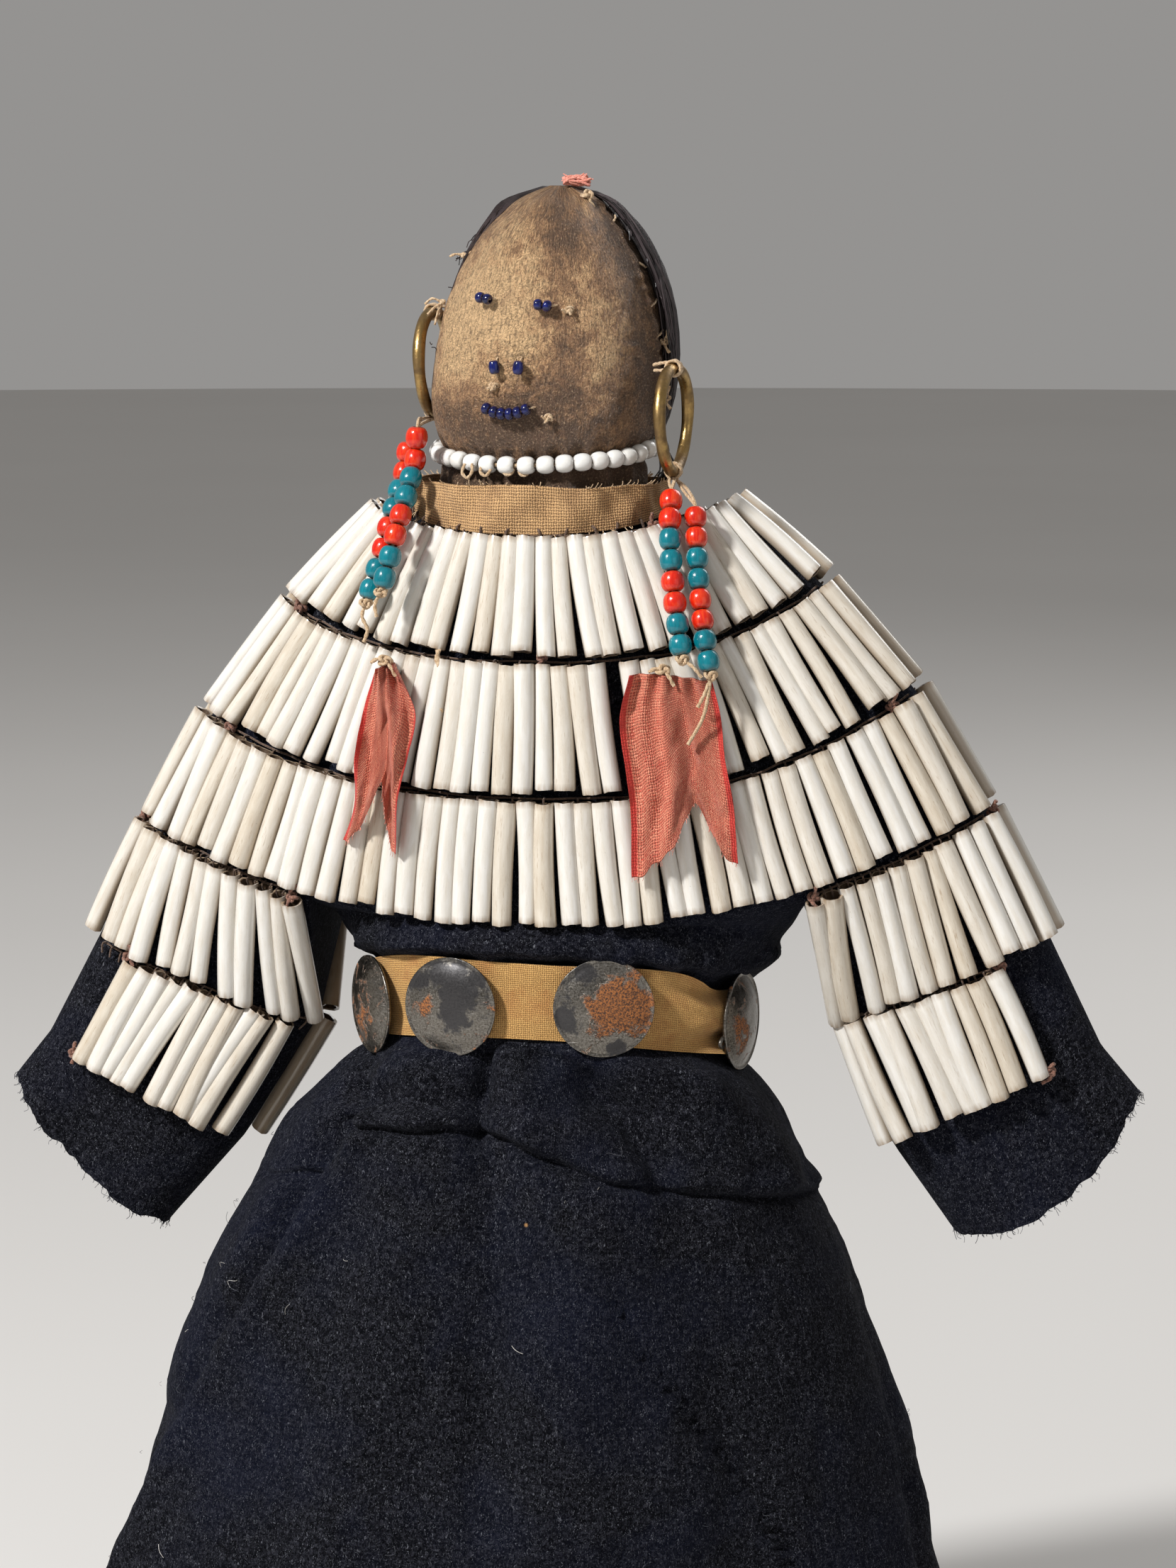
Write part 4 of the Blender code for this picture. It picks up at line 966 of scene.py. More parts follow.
def drawn_relief(points):
    """The front's folds: each line's height times a bell curve of the distance from it."""
    seen = in_view(points) + 0.5 * np.stack([ripple(points, 7.0, 61), ripple(points, 7.0, 62)], -1)
    total = np.zeros(points.shape[:-1])
    for stops, height, width in SKIRT_LINES:
        total = total + height * np.exp(-((line_reach(seen, stops) / width) ** 2))
    mend = np.exp(-((line_reach(seen, MEND_LINE) / 2.0) ** 2))
    total = total + mend * (1.2 * np.sin(1.5 * seen[..., 1] + 2.0 * np.sin(0.7 * seen[..., 0])) - 0.7)
    return total * np.clip(1.0 - points[..., 1] / 8.0, 0.0, 1.0)


def skirt_relief(turn, height):
    """How far the skirt's wool stands out: gathers under the belt, long folds that widen towards the hem,
    and behind, where the view doesn't reach, the tuck's bulge and groove and a seam."""
    level = 1.0 - height / SKIRT_LEVELS[-1][0]
    degrees = np.degrees(turn)
    away = lambda centre, width: np.exp(-(((degrees - centre + 180.0) % 360.0 - 180.0) / width) ** 2)
    fade = np.clip(1.0 - level / 0.24, 0.0, 1.0)
    behind = np.clip(0.4 + 1.6 * np.sin(turn), 0.0, 1.0)
    gather = (1.8 * np.cos(9 * turn + 0.6) + 0.9 * np.sin(17 * turn + 1.0)) * fade * (0.35 + 0.65 * behind)
    long = 2.2 * np.sin(3 * turn + 0.5) + 1.5 * np.sin(5 * turn + 1.7)
    long = long * np.clip(level / 0.5, 0.0, 1.0)
    above = height - TUCK_Z
    tuck = 1.3 * np.exp(-(((above - 3.0) / 2.4) ** 2)) - 1.5 * np.exp(-((above / 0.9) ** 2))
    back_seam = -0.8 * away(92.0, 1.6) * np.clip(-above / 6.0, 0.0, 1.0)
    return gather + long + tuck * behind + back_seam


def skirt_ring(turn, height):
    """A ring of the skirt: the level's oval, wider by the relief, tilted up in front near the tuck."""
    levels = np.array(SKIRT_LEVELS)
    width, depth, shift = glide(height, levels[:, 0], levels[:, 1:])
    level = 1.0 - height / levels[-1, 0]
    extra = skirt_relief(turn, height)
    x, y = oval(width + extra, depth + extra, turn)
    tilt = TUCK_TILT * y * max(0.0, 1.0 - level / 0.45) * np.where(y < 0, 1.0, 0.35)
    upper = 0.6 + 0.4 * min(1.0, level / 0.05)
    return np.stack([x + shift, y + HEM_BACK * level, height + tilt * upper], -1)


def waist_ring(turn, offset, wide=0.0, deep=0.0, gather=0.0):
    """A ring round the waist at an offset from the tape's middle: its oval, made wider and deeper, in folds."""
    x, y = oval(*WAIST, turn)
    fold = gather * (np.cos(9 * turn + 0.6) + 0.5 * np.sin(17 * turn + 1.0))
    far_x, far_y = oval(WAIST[0] + wide + fold, WAIST[1] + deep + fold, turn)
    return np.stack([far_x, far_y, belt_height(x, y) + offset], -1)


def flat_grid(grid, wrap=True):
    """Flat places in millimetres for a grid: lengths walked along its widest row and down its first column."""
    closed = np.concatenate([grid, grid[:, :1]], axis=1) if wrap else grid
    across = np.linalg.norm(np.diff(closed, axis=1), axis=2)
    widest = across[np.argmax(across.sum(axis=1))]
    u = np.concatenate([[0.0], np.cumsum(widest)])
    u, v = np.meshgrid(u, walked_rows(grid))
    return np.stack([u, v], -1)


def band(outer, inner, flat):
    """A closed band of cloth: down its outside and back up its inside."""
    flat = np.concatenate([flat, flat[::-1], flat[:1]])
    return Skin().add(np.concatenate([outer, inner[::-1]]), loop=True, flat=flat)


def make_dress():
    """The whole wool dress: body and skirt as one tube with a turned hem, and two sleeves with open cuffs."""
    skin = Skin()
    turn, front, place = round_body(330)
    rings = []
    for height in (300.8, 293.2):
        x, y = oval(NECK[1] - 0.4, NECK[2] - 0.4, turn, NECK_ROUNDNESS)
        rings.append(np.stack([x + NECK[0], y, np.full_like(x, height)], -1))
    for line in range(4):
        side = np.where(place >= 0, SHOULDER[1][line], SHOULDER[-1][line]) + 0.015
        points = chest(line, place * side)
        points[..., 1] = np.where(front, points[..., 1], -points[..., 1])
        rings.append(points)
    half = BELT_HEIGHT / 2
    rings.append(waist_ring(turn, half + 8.5, 8.0, -1.0))
    rings.append(waist_ring(turn, half + 2.2, 4.4, 3.8))
    rings.append(waist_ring(turn, half - 0.6, -0.2, -0.2))
    rings.append(waist_ring(turn, -half + 0.8, -0.2, -0.2))
    rings.append(waist_ring(turn, -half - 4.0, 4.2, 4.2, 1.2))
    rings.append(skirt_ring(turn, SKIRT_LEVELS[-1][0] - 1.0))
    rings = np.array(rings)
    stations = walked_rows(rings)
    straight = between(np.linspace(0.0, stations[5], 36), stations[:6], rings[:6])
    upper = glide(np.linspace(stations[5], stations[-1], 62)[1:], stations[4:], rings[4:])
    heights = np.concatenate([np.linspace(163.0, 144.0, 42), np.linspace(142.6, 0.0, 80)])
    lower = np.array([skirt_ring(turn, height) for height in heights])
    outer = np.concatenate([straight, upper, lower])
    normal = unit((outer - outer.mean(axis=1, keepdims=True)) * [1.0, 1.0, 0.0])
    normal = unit(normal * [0.8, 1.0, 0.0])
    belt_low = belt_height(*oval(*WAIST, turn)) - BELT_HEIGHT / 2
    below = np.clip((belt_low - outer[..., 2]) / 3.0, 0.0, 1.0)
    free = np.clip((212.0 - outer[..., 2]) / 10.0, 0.0, 1.0)
    lumps = 0.8 * ripple(outer, 13.0, 1) + 0.45 * ripple(outer, 5.5, 2) + 0.2 * ripple(outer, 2.2, 3)
    puff = np.clip(1.0 - np.abs(outer[..., 2] - 202.0) / 12.0, 0.0, 1.0)
    seen = in_view(outer)
    creases = np.sin(0.30 * seen[..., 0] + 2.4 * ripple(outer, 14.0, 4) + 0.5 * seen[..., 1])
    creases = creases + 0.7 * np.sin(0.62 * seen[..., 0] - 0.45 * seen[..., 1] + 2.0 * ripple(outer, 9.0, 9))
    relief = (lumps + 1.2 * puff * creases) * free * np.clip(outer[..., 2] / 3.0, 0.15, 1.0)
    relief = relief + drawn_relief(outer) * below * np.clip(outer[..., 2] / 2.0, 0.4, 1.0)
    outer = outer + normal * relief[..., None]
    outer[..., 2] = np.maximum(outer[..., 2], 0.0)
    outer[-1, :, 2] = 0.0
    hem_in = outer[-1] * [0.985, 0.975, 1.0] + [0.0, 0.0, 0.05]
    levels = (3.0, 40.0, 76.0, 110.0)
    inside = np.array([skirt_ring(turn, level) * [0.958, 0.932, 0.0] + [0.0, 0.0, level] for level in levels])
    grid = np.concatenate([outer, hem_in[None], inside])
    skin.add(grid, flat=flat_grid(grid))
    for side in (1, -1):
        grid = sleeve_grid(side)
        skin.add(grid, flat=flat_grid(grid))
    dress = skin.build(
        "dress_wool", WOOL, "wool_cloth",
        ("dress_yoke", "dress_sleeve_left", "dress_sleeve_right", "dress_skirt"), smooth=70.0,
    )


SLEEVE_COLUMNS, SLEEVE_ROWS = 112, 74


def sleeve_grid(side):
    """A sleeve: flat ovals from the shoulder to the cuff, a ragged lip, and a lining that turns back inside."""
    turn = circle(SLEEVE_COLUMNS)
    across = (1 - np.cos(turn)) / 2
    facing = np.where(np.sin(turn) >= 0, 1.0, -1.0)
    thick = np.minimum(1.0, np.abs(np.sin(turn)) * 3.0)
    rings = []
    for line in range(7):
        points = sleeve(line, side, across)
        if line < 4:
            points[..., 0] -= side * 1.0 * (1 - across)
        points[..., 1] = np.minimum(points[..., 1], -0.35 * thick) * facing
        rings.append(points)
    rings = np.array(rings)
    stations = walked_rows(rings)
    walked = np.linspace(0.0, stations[-1], SLEEVE_ROWS)
    outer = between(walked, stations, rings)
    loose = np.clip((walked - stations[3] - 6.0) / 30.0, 0.0, 1.0)[:, None]
    middle = outer.mean(axis=1, keepdims=True)
    cuff = np.clip((walked - stations[5]) / (stations[6] - stations[5]), 0.0, 1.0)[:, None]
    shape = 0.35 * ripple(outer, 8.0, 5) + 0.2 * ripple(outer, 3.0, 6)
    wave = 1.1 * np.sin(7.0 * across + 2.0 * side)[None, :] * cuff
    outer[..., 1] += facing * thick * shape * (0.3 + loose) + wave
    down = unit(np.array([FOLD[side][6][0] - FOLD[side][4][0], 0.0, FOLD[side][6][1] - FOLD[side][4][1]]))
    down[0] *= side
    ragged = 0.8 * ripple(outer[-1], 3.2, 7) + 0.5 * ripple(outer[-1], 1.1, 8)
    outer[-1] = outer[-1] + ragged[:, None] * down
    inner = []
    for back, share in ((0, 0.80), (5, 0.76), (12, 0.70)):
        ring = outer[-1 - back]
        centre = middle[-1 - back]
        shrunk = centre + (ring - centre) * [0.955, share, 0.955]
        inner.append(shrunk)
    return np.concatenate([outer, np.array(inner)])


# Shells

def spaced_places(line, locate, start, end, count):
    """Places across a row line that lie the same length apart on the wool."""
    dense = np.linspace(start, end, 400)
    walked = lengths_along(locate(line, dense))
    return np.interp(np.linspace(0.0, walked[-1], count), walked, dense)


SHELL_COLUMNS = 12
SHELL_SHARES = (0.10, 0.006, 0.0, 0.012, 0.12, 0.27, 0.42, 0.58, 0.73, 0.88, 0.988, 1.0, 0.994, 0.90)
SHELL_WALL = (0.60, 0.68, 0.97, 1.0, 1.0, 1.0, 1.0, 1.0, 1.0, 1.0, 1.0, 0.97, 0.68, 0.60)


def shell_grid(top, bottom, out_top, out_bottom, radius, seed):
    """One hollow tusk: rings along a slight bow, narrower to one end, with ragged ends that turn inside.
    The grid runs from inside the upper end, over the outside, to inside the lower end."""
    share, wall = np.array(SHELL_SHARES), np.array(SHELL_WALL)
    taper = np.interp(share, (0.0, 1.0), (1.0 + 0.08 * np.sin(seed), 1.0 - 0.08 * np.sin(seed)))
    turn = circle(SHELL_COLUMNS)
    axis = unit(bottom - top)
    outward = unit((out_top + out_bottom) / 2 - ((out_top + out_bottom) / 2 @ axis) * axis)
    across = np.cross(axis, outward)
    arch = np.sin(pi * share)[:, None]
    bow = 0.35 * np.sin(seed * 2.7) * arch * across + 0.22 * arch * outward
    line = top + share[:, None] * (bottom - top) + bow
    uneven = 1.0 + 0.03 * np.sin(2 * turn + seed)
    reach = radius * taper[:, None] * wall[:, None] * uneven
    spoke = np.cos(turn)[:, None] * across + np.sin(turn)[:, None] * outward
    ragged = 0.10 * np.sin(2 * turn + seed * 1.3) + 0.07 * np.sin(5 * turn - seed)
    ends = np.where(share < 0.5, -1.0, 1.0) * np.clip((np.abs(share - 0.5) - 0.40) / 0.1, 0.0, 1.0)
    points = line[:, None] + reach[..., None] * spoke + (ends[:, None] * ragged)[..., None] * axis
    hidden = wall < 0.7
    run = np.where(hidden, np.where(share < 0.5, -15.0, 115.0), share * 100.0)
    lay = np.stack(np.broadcast_arrays(radius * np.cos(turn), radius * np.sin(turn), run[:, None]), -1)
    return points, lay


def shell_row(name, line, locate, start, end, count, back, missing=(), slack=0.0):
    """A row of tusk shells hung side by side from the upper line, each a little out of true."""
    skin = Skin()
    width = SHELL_WIDTHS[line]
    tops = spaced_places(line, locate, start, end, count)
    bottoms = spaced_places(line + 1, locate, start, end, count)
    for k in range(count):
        draw = chance.random(8)
        if k in missing:
            continue
        radius = width / 2 * (0.97 + 0.19 * draw[0])
        loose = 1.0 if 0 < k < count - 1 else 0.0
        lean = (draw[1] - 0.5) * 0.30 / count * loose
        proud = 0.75 * draw[2] ** 2
        top, out_top = on_row(line, locate, tops[k] + lean, 0.012 + 0.02 * draw[3])
        low = 0.986 - slack * draw[4] ** 2 - 0.02 * draw[5]
        bottom, out_bottom = on_row(line, locate, bottoms[k] + (draw[6] - 0.5) * 0.8 / count * loose, low)
        lift = SEAT - 0.2 + radius
        top = top + out_top * (lift + proud)
        bottom = bottom + out_bottom * (lift + proud + 0.35 * draw[7])
        grid, lay = shell_grid(top, bottom, out_top, out_bottom, radius, 40.0 * draw[0] + k)
        if back:
            grid = grid * [1.0, -1.0, 1.0]
        skin.add(grid, tone=draw[3] ** 1.3, lay=lay)
    skin.build(name + "_tusks", SHELL, "tusk_shell", (name,), smooth=50.0)


def make_shells():
    """Three rows right across the front and the back, and two more on each sleeve."""
    for back, face in ((False, "front"), (True, "back")):
        for line, count in enumerate(ROW_SHELLS[face]):
            shell_row(
                f"shell_row_{line + 1}_{face}", line, chest, -ROW_REACH, ROW_REACH, count, back,
                LOST_SHELLS.get((face, line), ()), slack=0.05,
            )
        for side, word in ((1, "left"), (-1, "right")):
            for line, count in zip((3, 4), CUFF_SHELLS[face, side]):
                start, end = CUFF_START[side], CUFF_REACH[side][line - 3]
                if line == 4 and side < 0 and not back:
                    start, end = SHORT_ROW
                name = f"shell_row_{line + 1}_{word}_{face}"
                shell_row(name, line, sleeve_of(side), start, end, count, back, slack=0.04)


def make_row_threads():
    """Sewing thread along each row line, with a stitch up into every few shells."""
    skin = Skin()
    spans = [(line, chest, -ROW_REACH, ROW_REACH) for line in range(3)]
    for side in (1, -1):
        for line in (3, 4):
            spans.append((line, sleeve_of(side), CUFF_START[side], CUFF_REACH[side][line - 3]))
    for line, locate, start, end in spans:
        for mirror in (1.0, -1.0):
            places = np.linspace(start, end, 110)
            spots = [on_row(line, locate, place, 0.002) for place in places]
            path = np.array([here + (SEAT + 0.4) * outward for here, outward in spots])
            path = path + 0.35 * np.stack([ripple(path, 4.0, seed) for seed in (11, 12, 13)], -1)
            skin.add(tube(path * [1.0, mirror, 1.0], 0.24, 6), tone=0.1)
            for place in places[2:-2:5] + (chance.random(len(places[2:-2:5])) - 0.5) * 0.01:
                here, outward = on_row(line, locate, place, 0.0)
                below, outward_below = on_row(line, locate, place, 0.09)
                over = here + outward * (1.9 + chance.random())
                stitch = through([here + outward * 0.7, over, below + outward_below * 1.3], 6)
                skin.add(tube(stitch * [1.0, mirror, 1.0], 0.22, 5), tone=chance.random())
    skin.build("row_threads", SINEW)


# Belt

def make_belt():
    """The tape round the waist, with creases where it is pulled at its left side, and its turned edges."""
    columns, rows = 340, 22
    turn = circle(columns, -pi)
    down = np.linspace(0.0, 1.0, rows)[:, None]
    degrees = np.degrees(turn)[None, :]
    x, y = oval(*WAIST, turn)
    pulled = np.exp(-(((degrees + 22.0) / 19.0) ** 2))
    half = BELT_HEIGHT / 2 - 0.3
    top = half - 2.4 * pulled * np.clip((degrees + 48.0) / 20.0, 0.0, 1.0) + 0.35 * np.sin(5 * turn)[None, :]
    low = -half + 0.7 * pulled + 0.3 * np.sin(4 * turn + 1.0)[None, :]
    height = top + down * (low - top)
    crease = pulled * (
        0.9 + 1.45 * np.sin(9.0 * down + 0.085 * degrees) + 0.70 * np.sin(17.0 * down + 0.13 * degrees + 1.0)
    )
    soft = 0.16 * np.sin(3.0 * down * pi + 0.06 * degrees) + 0.12 * np.sin(0.21 * degrees + 2.0 * down)
    reach = BELT_CLEARANCE + 0.75 + crease + soft
    grids = []
    for extra in (0.0, -0.5):
        far_x, far_y = oval(WAIST[0] + reach + extra, WAIST[1] + reach + extra, turn[None, :])
        grids.append(np.stack([far_x, far_y, belt_height(x, y)[None, :] + height], -1))
    outer, inner = grids
    outer = outer + 0.12 * ripple(outer, 3.0, 21)[..., None] * unit(outer * [1.0, 1.0, 0.0])
    belt = band(outer, inner, flat_grid(outer)).build("belt_tape", TAPE, "cotton_tape", ("belt",), smooth=60.0)


def concho_place(degrees, height=0.0):
    """A disc's foot on the tape, with the directions along the tape, up and outwards."""
    turn = radians(degrees)
    reach = BELT_CLEARANCE + BELT_THICKNESS
    at = lambda angle: np.array([*oval(WAIST[0] + reach, WAIST[1] + reach, angle), 0.0])
    along = unit(at(turn + 0.02) - at(turn - 0.02))
    up = np.array([0.0, 0.0, 1.0])
    outward = np.cross(along, up)
    foot = at(turn)
    foot[2] = belt_height(foot[0], foot[1]) - (BELT_RISE if degrees < CONCHO_HUNG_BEFORE else CONCHO_SAG)
    return foot + outward * (GAP + height), along, up, outward


CONCHO_RIM = (  # share of the radius and height, over the rim and back underneath
    (0.93, 0.78), (0.955, 0.86), (0.975, 0.95), (0.99, 0.98), (1.0, 0.90), (1.0, 0.62),
    (0.99, 0.36), (0.965, 0.16), (0.93, 0.08), (0.88, 0.10), (0.5, 0.15), (0.1, 0.2),
)
CONCHO_RUST = {  # place along and up, spread, rust if above 0 and tarnish if below
    "concho_front_right": (
        (-4.2, 0.8, 3.8, 0.34), (1.5, 5.0, 6.0, -0.40), (0.5, -1.0, 3.6, -0.36), (-7.0, 5.0, 3.4, -0.3),
    ),
    "concho_front_left": (
        (2.0, 0.5, 7.2, 0.34), (-7.5, -2.0, 3.8, -0.42), (-4.0, 7.0, 3.6, -0.34), (3.0, -8.5, 3.0, -0.36),
    ),
}


def make_conchos():
    """Domed discs: height falls with the power 2.6 of the radius to a rolled rim, with dents and a thin
    back. Rust and tarnish gather in bell curves round the spots of CONCHO_RUST."""
    dome = np.linspace(0.04, 0.90, 17)
    domed = len(dome)
    rim, rim_lift = np.array(CONCHO_RIM).T
    share = np.concatenate([dome, rim])
    lift = np.concatenate([np.maximum(CONCHO_DOME * (1 - dome**2.6) * 0.86 + 0.30, 0.62), rim_lift])
    turn = circle(72)
    for number, (name, degrees) in enumerate(CONCHO_TURNS.items()):
        foot, along, up, outward = concho_place(degrees)
        radius = CONCHO_DIAMETER / 2 * (0.99 + 0.008 * np.sin(2 * turn + number))
        local = np.stack([
            radius * share[:, None] * np.cos(turn), radius * share[:, None] * np.sin(turn),
            np.broadcast_to(lift[:, None], (len(share), 72)),
        ], -1)
        dents = 0.13 * ripple(local + 50.0 * number, 5.0, 31) + 0.05 * ripple(local + 50.0 * number, 2.0, 32)
        local[: domed + 3, :, 2] += dents[: domed + 3]
        grid = foot + local[..., :1] * along + local[..., 1:2] * up + local[..., 2:] * outward
        bias = np.zeros(local.shape[:2])
        plain = ((4.0 * cos(number), 4.0 * sin(2 * number), 4.5, 0.16),)
        for x, y, spread, amount in CONCHO_RUST.get(name, plain):
            bias = bias + amount * np.exp(-((local[..., 0] - x) ** 2 + (local[..., 1] - y) ** 2) / spread**2)
        lay = np.stack([local[..., 0], local[..., 1], bias], -1)
        skin = Skin().add(grid, tone=0.13 + 0.37 * number, lay=lay)
        skin.build(name + "_disc", STEEL, "rusty_steel", (name,), smooth=60.0)


def make_wire_loop():
    """The nickel wire that holds the side disc, where it shows past the belt's edge."""
    foot, along, up, outward = concho_place(CONCHO_TURNS["concho_side_left"])
    turn = np.linspace(0.2 * pi, 1.7 * pi, 40)
    centre = foot - along * 8.3 - up * 3.2 - outward * 0.15
    rise = (0.75 * up + 0.12 * outward) * 1.6
    path = centre + np.cos(turn)[:, None] * along * 2.6 + np.sin(turn)[:, None] * rise
    Skin().add(tube(path, 0.42, 10), tone=0.2).build("concho_wire", STEEL, "rusty_steel")


# Head

HAIR_EDGE = ((300.0, 10.0), (312.0, 10.0), (328.0, 7.0), (340.0, 4.0), (352.0, 2.0), (360.0, 2.0), (367.0, 8.0))
HIDE_TONES = (  # round from the nose, height, spread, how much paler
    (-13.0, 340.0, 9.0, 0.40), (-8.0, 351.0, 8.0, 0.25), (-12.0, 327.0, 7.0, 0.30), (-4.5, 341.0, 6.0, 0.45),
    (1.5, 334.0, 3.5, 0.45), (-10.9, 335.0, 5.0, 0.35), (2.5, 349.0, 7.0, 0.22),
    (20.6, 330.0, 6.0, 0.30), (19.7, 344.0, 5.0, 0.18), (6.6, 321.0, 5.0, -0.30), (-3.5, 314.0, 6.0, -0.45),
    (32.0, 324.0, 7.0, -0.45), (9.6, 359.0, 7.0, -0.40), (-13.0, 317.0, 6.0, -0.35), (28.0, 352.0, 6.0, -0.35),
    (12.0, 312.0, 8.0, -0.40), (-2.0, 328.0, 1.6, 0.25), (-24.0, 345.0, 7.0, 0.10),
)


FACE_ROUND = 22.5  # millimetres of face to a radian round it


def hair_edge(height):
    """The angle at which the hide's edge meets the hair on its left side."""
    stops = np.array(HAIR_EDGE)
    return np.radians(glide(height, stops[:, 0], stops[:, 1]))


def make_head():
    """The stuffed hide: ovals read along its levels, lumpy and creased, with a raised seam along the hair,
    pleated where it is tied at the neck."""
    rows, columns = 170, 220
    levels = np.array(HEAD_LEVELS)
    share = np.linspace(0.0, 1.0, rows)
    height = levels[0, 0] + (levels[-1, 0] - levels[0, 0]) * (1 - (1 - share) ** 1.25)
    turn = circle(columns)
    grid = head_point(turn[None, :], height[:, None])
    centre = head_frame(np.stack([np.zeros(rows), np.zeros(rows), height], -1))[:, None]
    outward = unit(grid - centre)
    lumps = 0.38 * ripple(grid, 11.0, 41) + 0.24 * ripple(grid, 4.5, 42) + 0.10 * ripple(grid, 1.8, 43)
    tied = np.exp(-(((height - 309.5) / 3.2) ** 2))[:, None]
    neck = np.clip((309.5 - height) / 3.0, 0.0, 1.0)[:, None]
    pleats = 0.5 * np.cos(31 * turn + 1.2 * np.sin(3 * turn))[None, :] * tied
    folds = 0.8 * np.cos(13 * turn + 2.0 * np.sin(2 * turn))[None, :] * neck
    apart = (turn[None, :] - hair_edge(height)[:, None] + radians(3.0) + pi) % (2 * pi) - pi
    upper = np.clip((height - 312.0) / 6.0, 0.0, 1.0)[:, None]
    sewn = (0.75 * np.exp(-(((apart + 0.05) / 0.05) ** 2)) - 0.7 * np.exp(-((apart / 0.035) ** 2))) * upper
    drawn = np.sin(height * 1.7 + 2.0 * np.sin(height * 0.4))[:, None]
    pucker = 0.3 * drawn * np.exp(-((apart / 0.13) ** 2)) * upper
    aside = np.exp(-((((turn[None, :] - radians(206.0) + pi) % (2 * pi) - pi) / 0.55) ** 2))
    full = np.interp(height, (310.0, 318.0, 345.0, 356.0, 364.0), (0.0, 1.0, 1.0, 0.9, 0.3))[:, None]
    fuller = 0.5 * aside * full
    from_nose = FACE_ROUND * (turn[None, :] - 1.5 * pi) - FACE_SHIFT
    over_nose = height[:, None] - 328.5
    round_nose = np.hypot(from_nose, over_nose)
    rays = 0.28 * np.cos(11 * np.arctan2(over_nose, from_nose)) * np.exp(-(((round_nose - 5.0) / 3.0) ** 2))
    pinched = 0.22 * np.sin(height * 3.0 + 5.8548)[:, None] * np.exp(-((round_nose / 9.0) ** 2))
    crown = np.exp(-(((height - 366.0) / 5.0) ** 2))[:, None]
    gathers = 0.35 * np.cos(15 * turn)[None, :] * crown
    lift = lumps * (1 - 0.5 * tied) + pleats - folds + sewn + pucker + gathers + fuller + rays + pinched
    grid = grid + outward * lift[..., None]
    round_face = FACE_ROUND * (((turn + pi / 2 + pi) % (2 * pi)) - pi)
    u = np.broadcast_to(round_face[None, :], grid.shape[:2])
    v = np.broadcast_to(height[:, None], grid.shape[:2])
    tone = np.zeros(grid.shape[:2])
    for across, up, spread, paler in HIDE_TONES:
        tone = tone + paler * np.exp(-((u - across) ** 2 + (v - up) ** 2) / (spread * 1.25) ** 2)
    tone = tone - 0.35 * np.clip((np.abs(u) - 26.0) / 8.0, 0.0, 1.0) - 0.5 * neck
    lay = np.stack([u, v, np.zeros_like(u)], -1)
    head = Skin().add(grid, tone=tone, lay=lay).build("head_hide", HIDE, "hide", ("head",), smooth=80.0)


def strand(turns, heights, lifts, radius, count=14, wave=0.0, phase=0.0):
    """A hair laid on the head: its angle, height and distance from the hide run smoothly between stops."""
    share = np.linspace(0.0, 1.0, len(turns))
    dense = np.linspace(0.0, 1.0, count)
    turn = glide(dense, share, turns) + wave * np.sin(9.0 * dense + phase)
    height = glide(dense, share, heights)
    lift = glide(dense, share, lifts)
    width, depth = head_size(height)
    x, y = oval(width + lift, depth + lift, turn, HEAD_ROUNDNESS)
    return tube(head_frame(np.stack([x, y, height], -1)), radius * (1 - 0.6 * dense**3), 3)


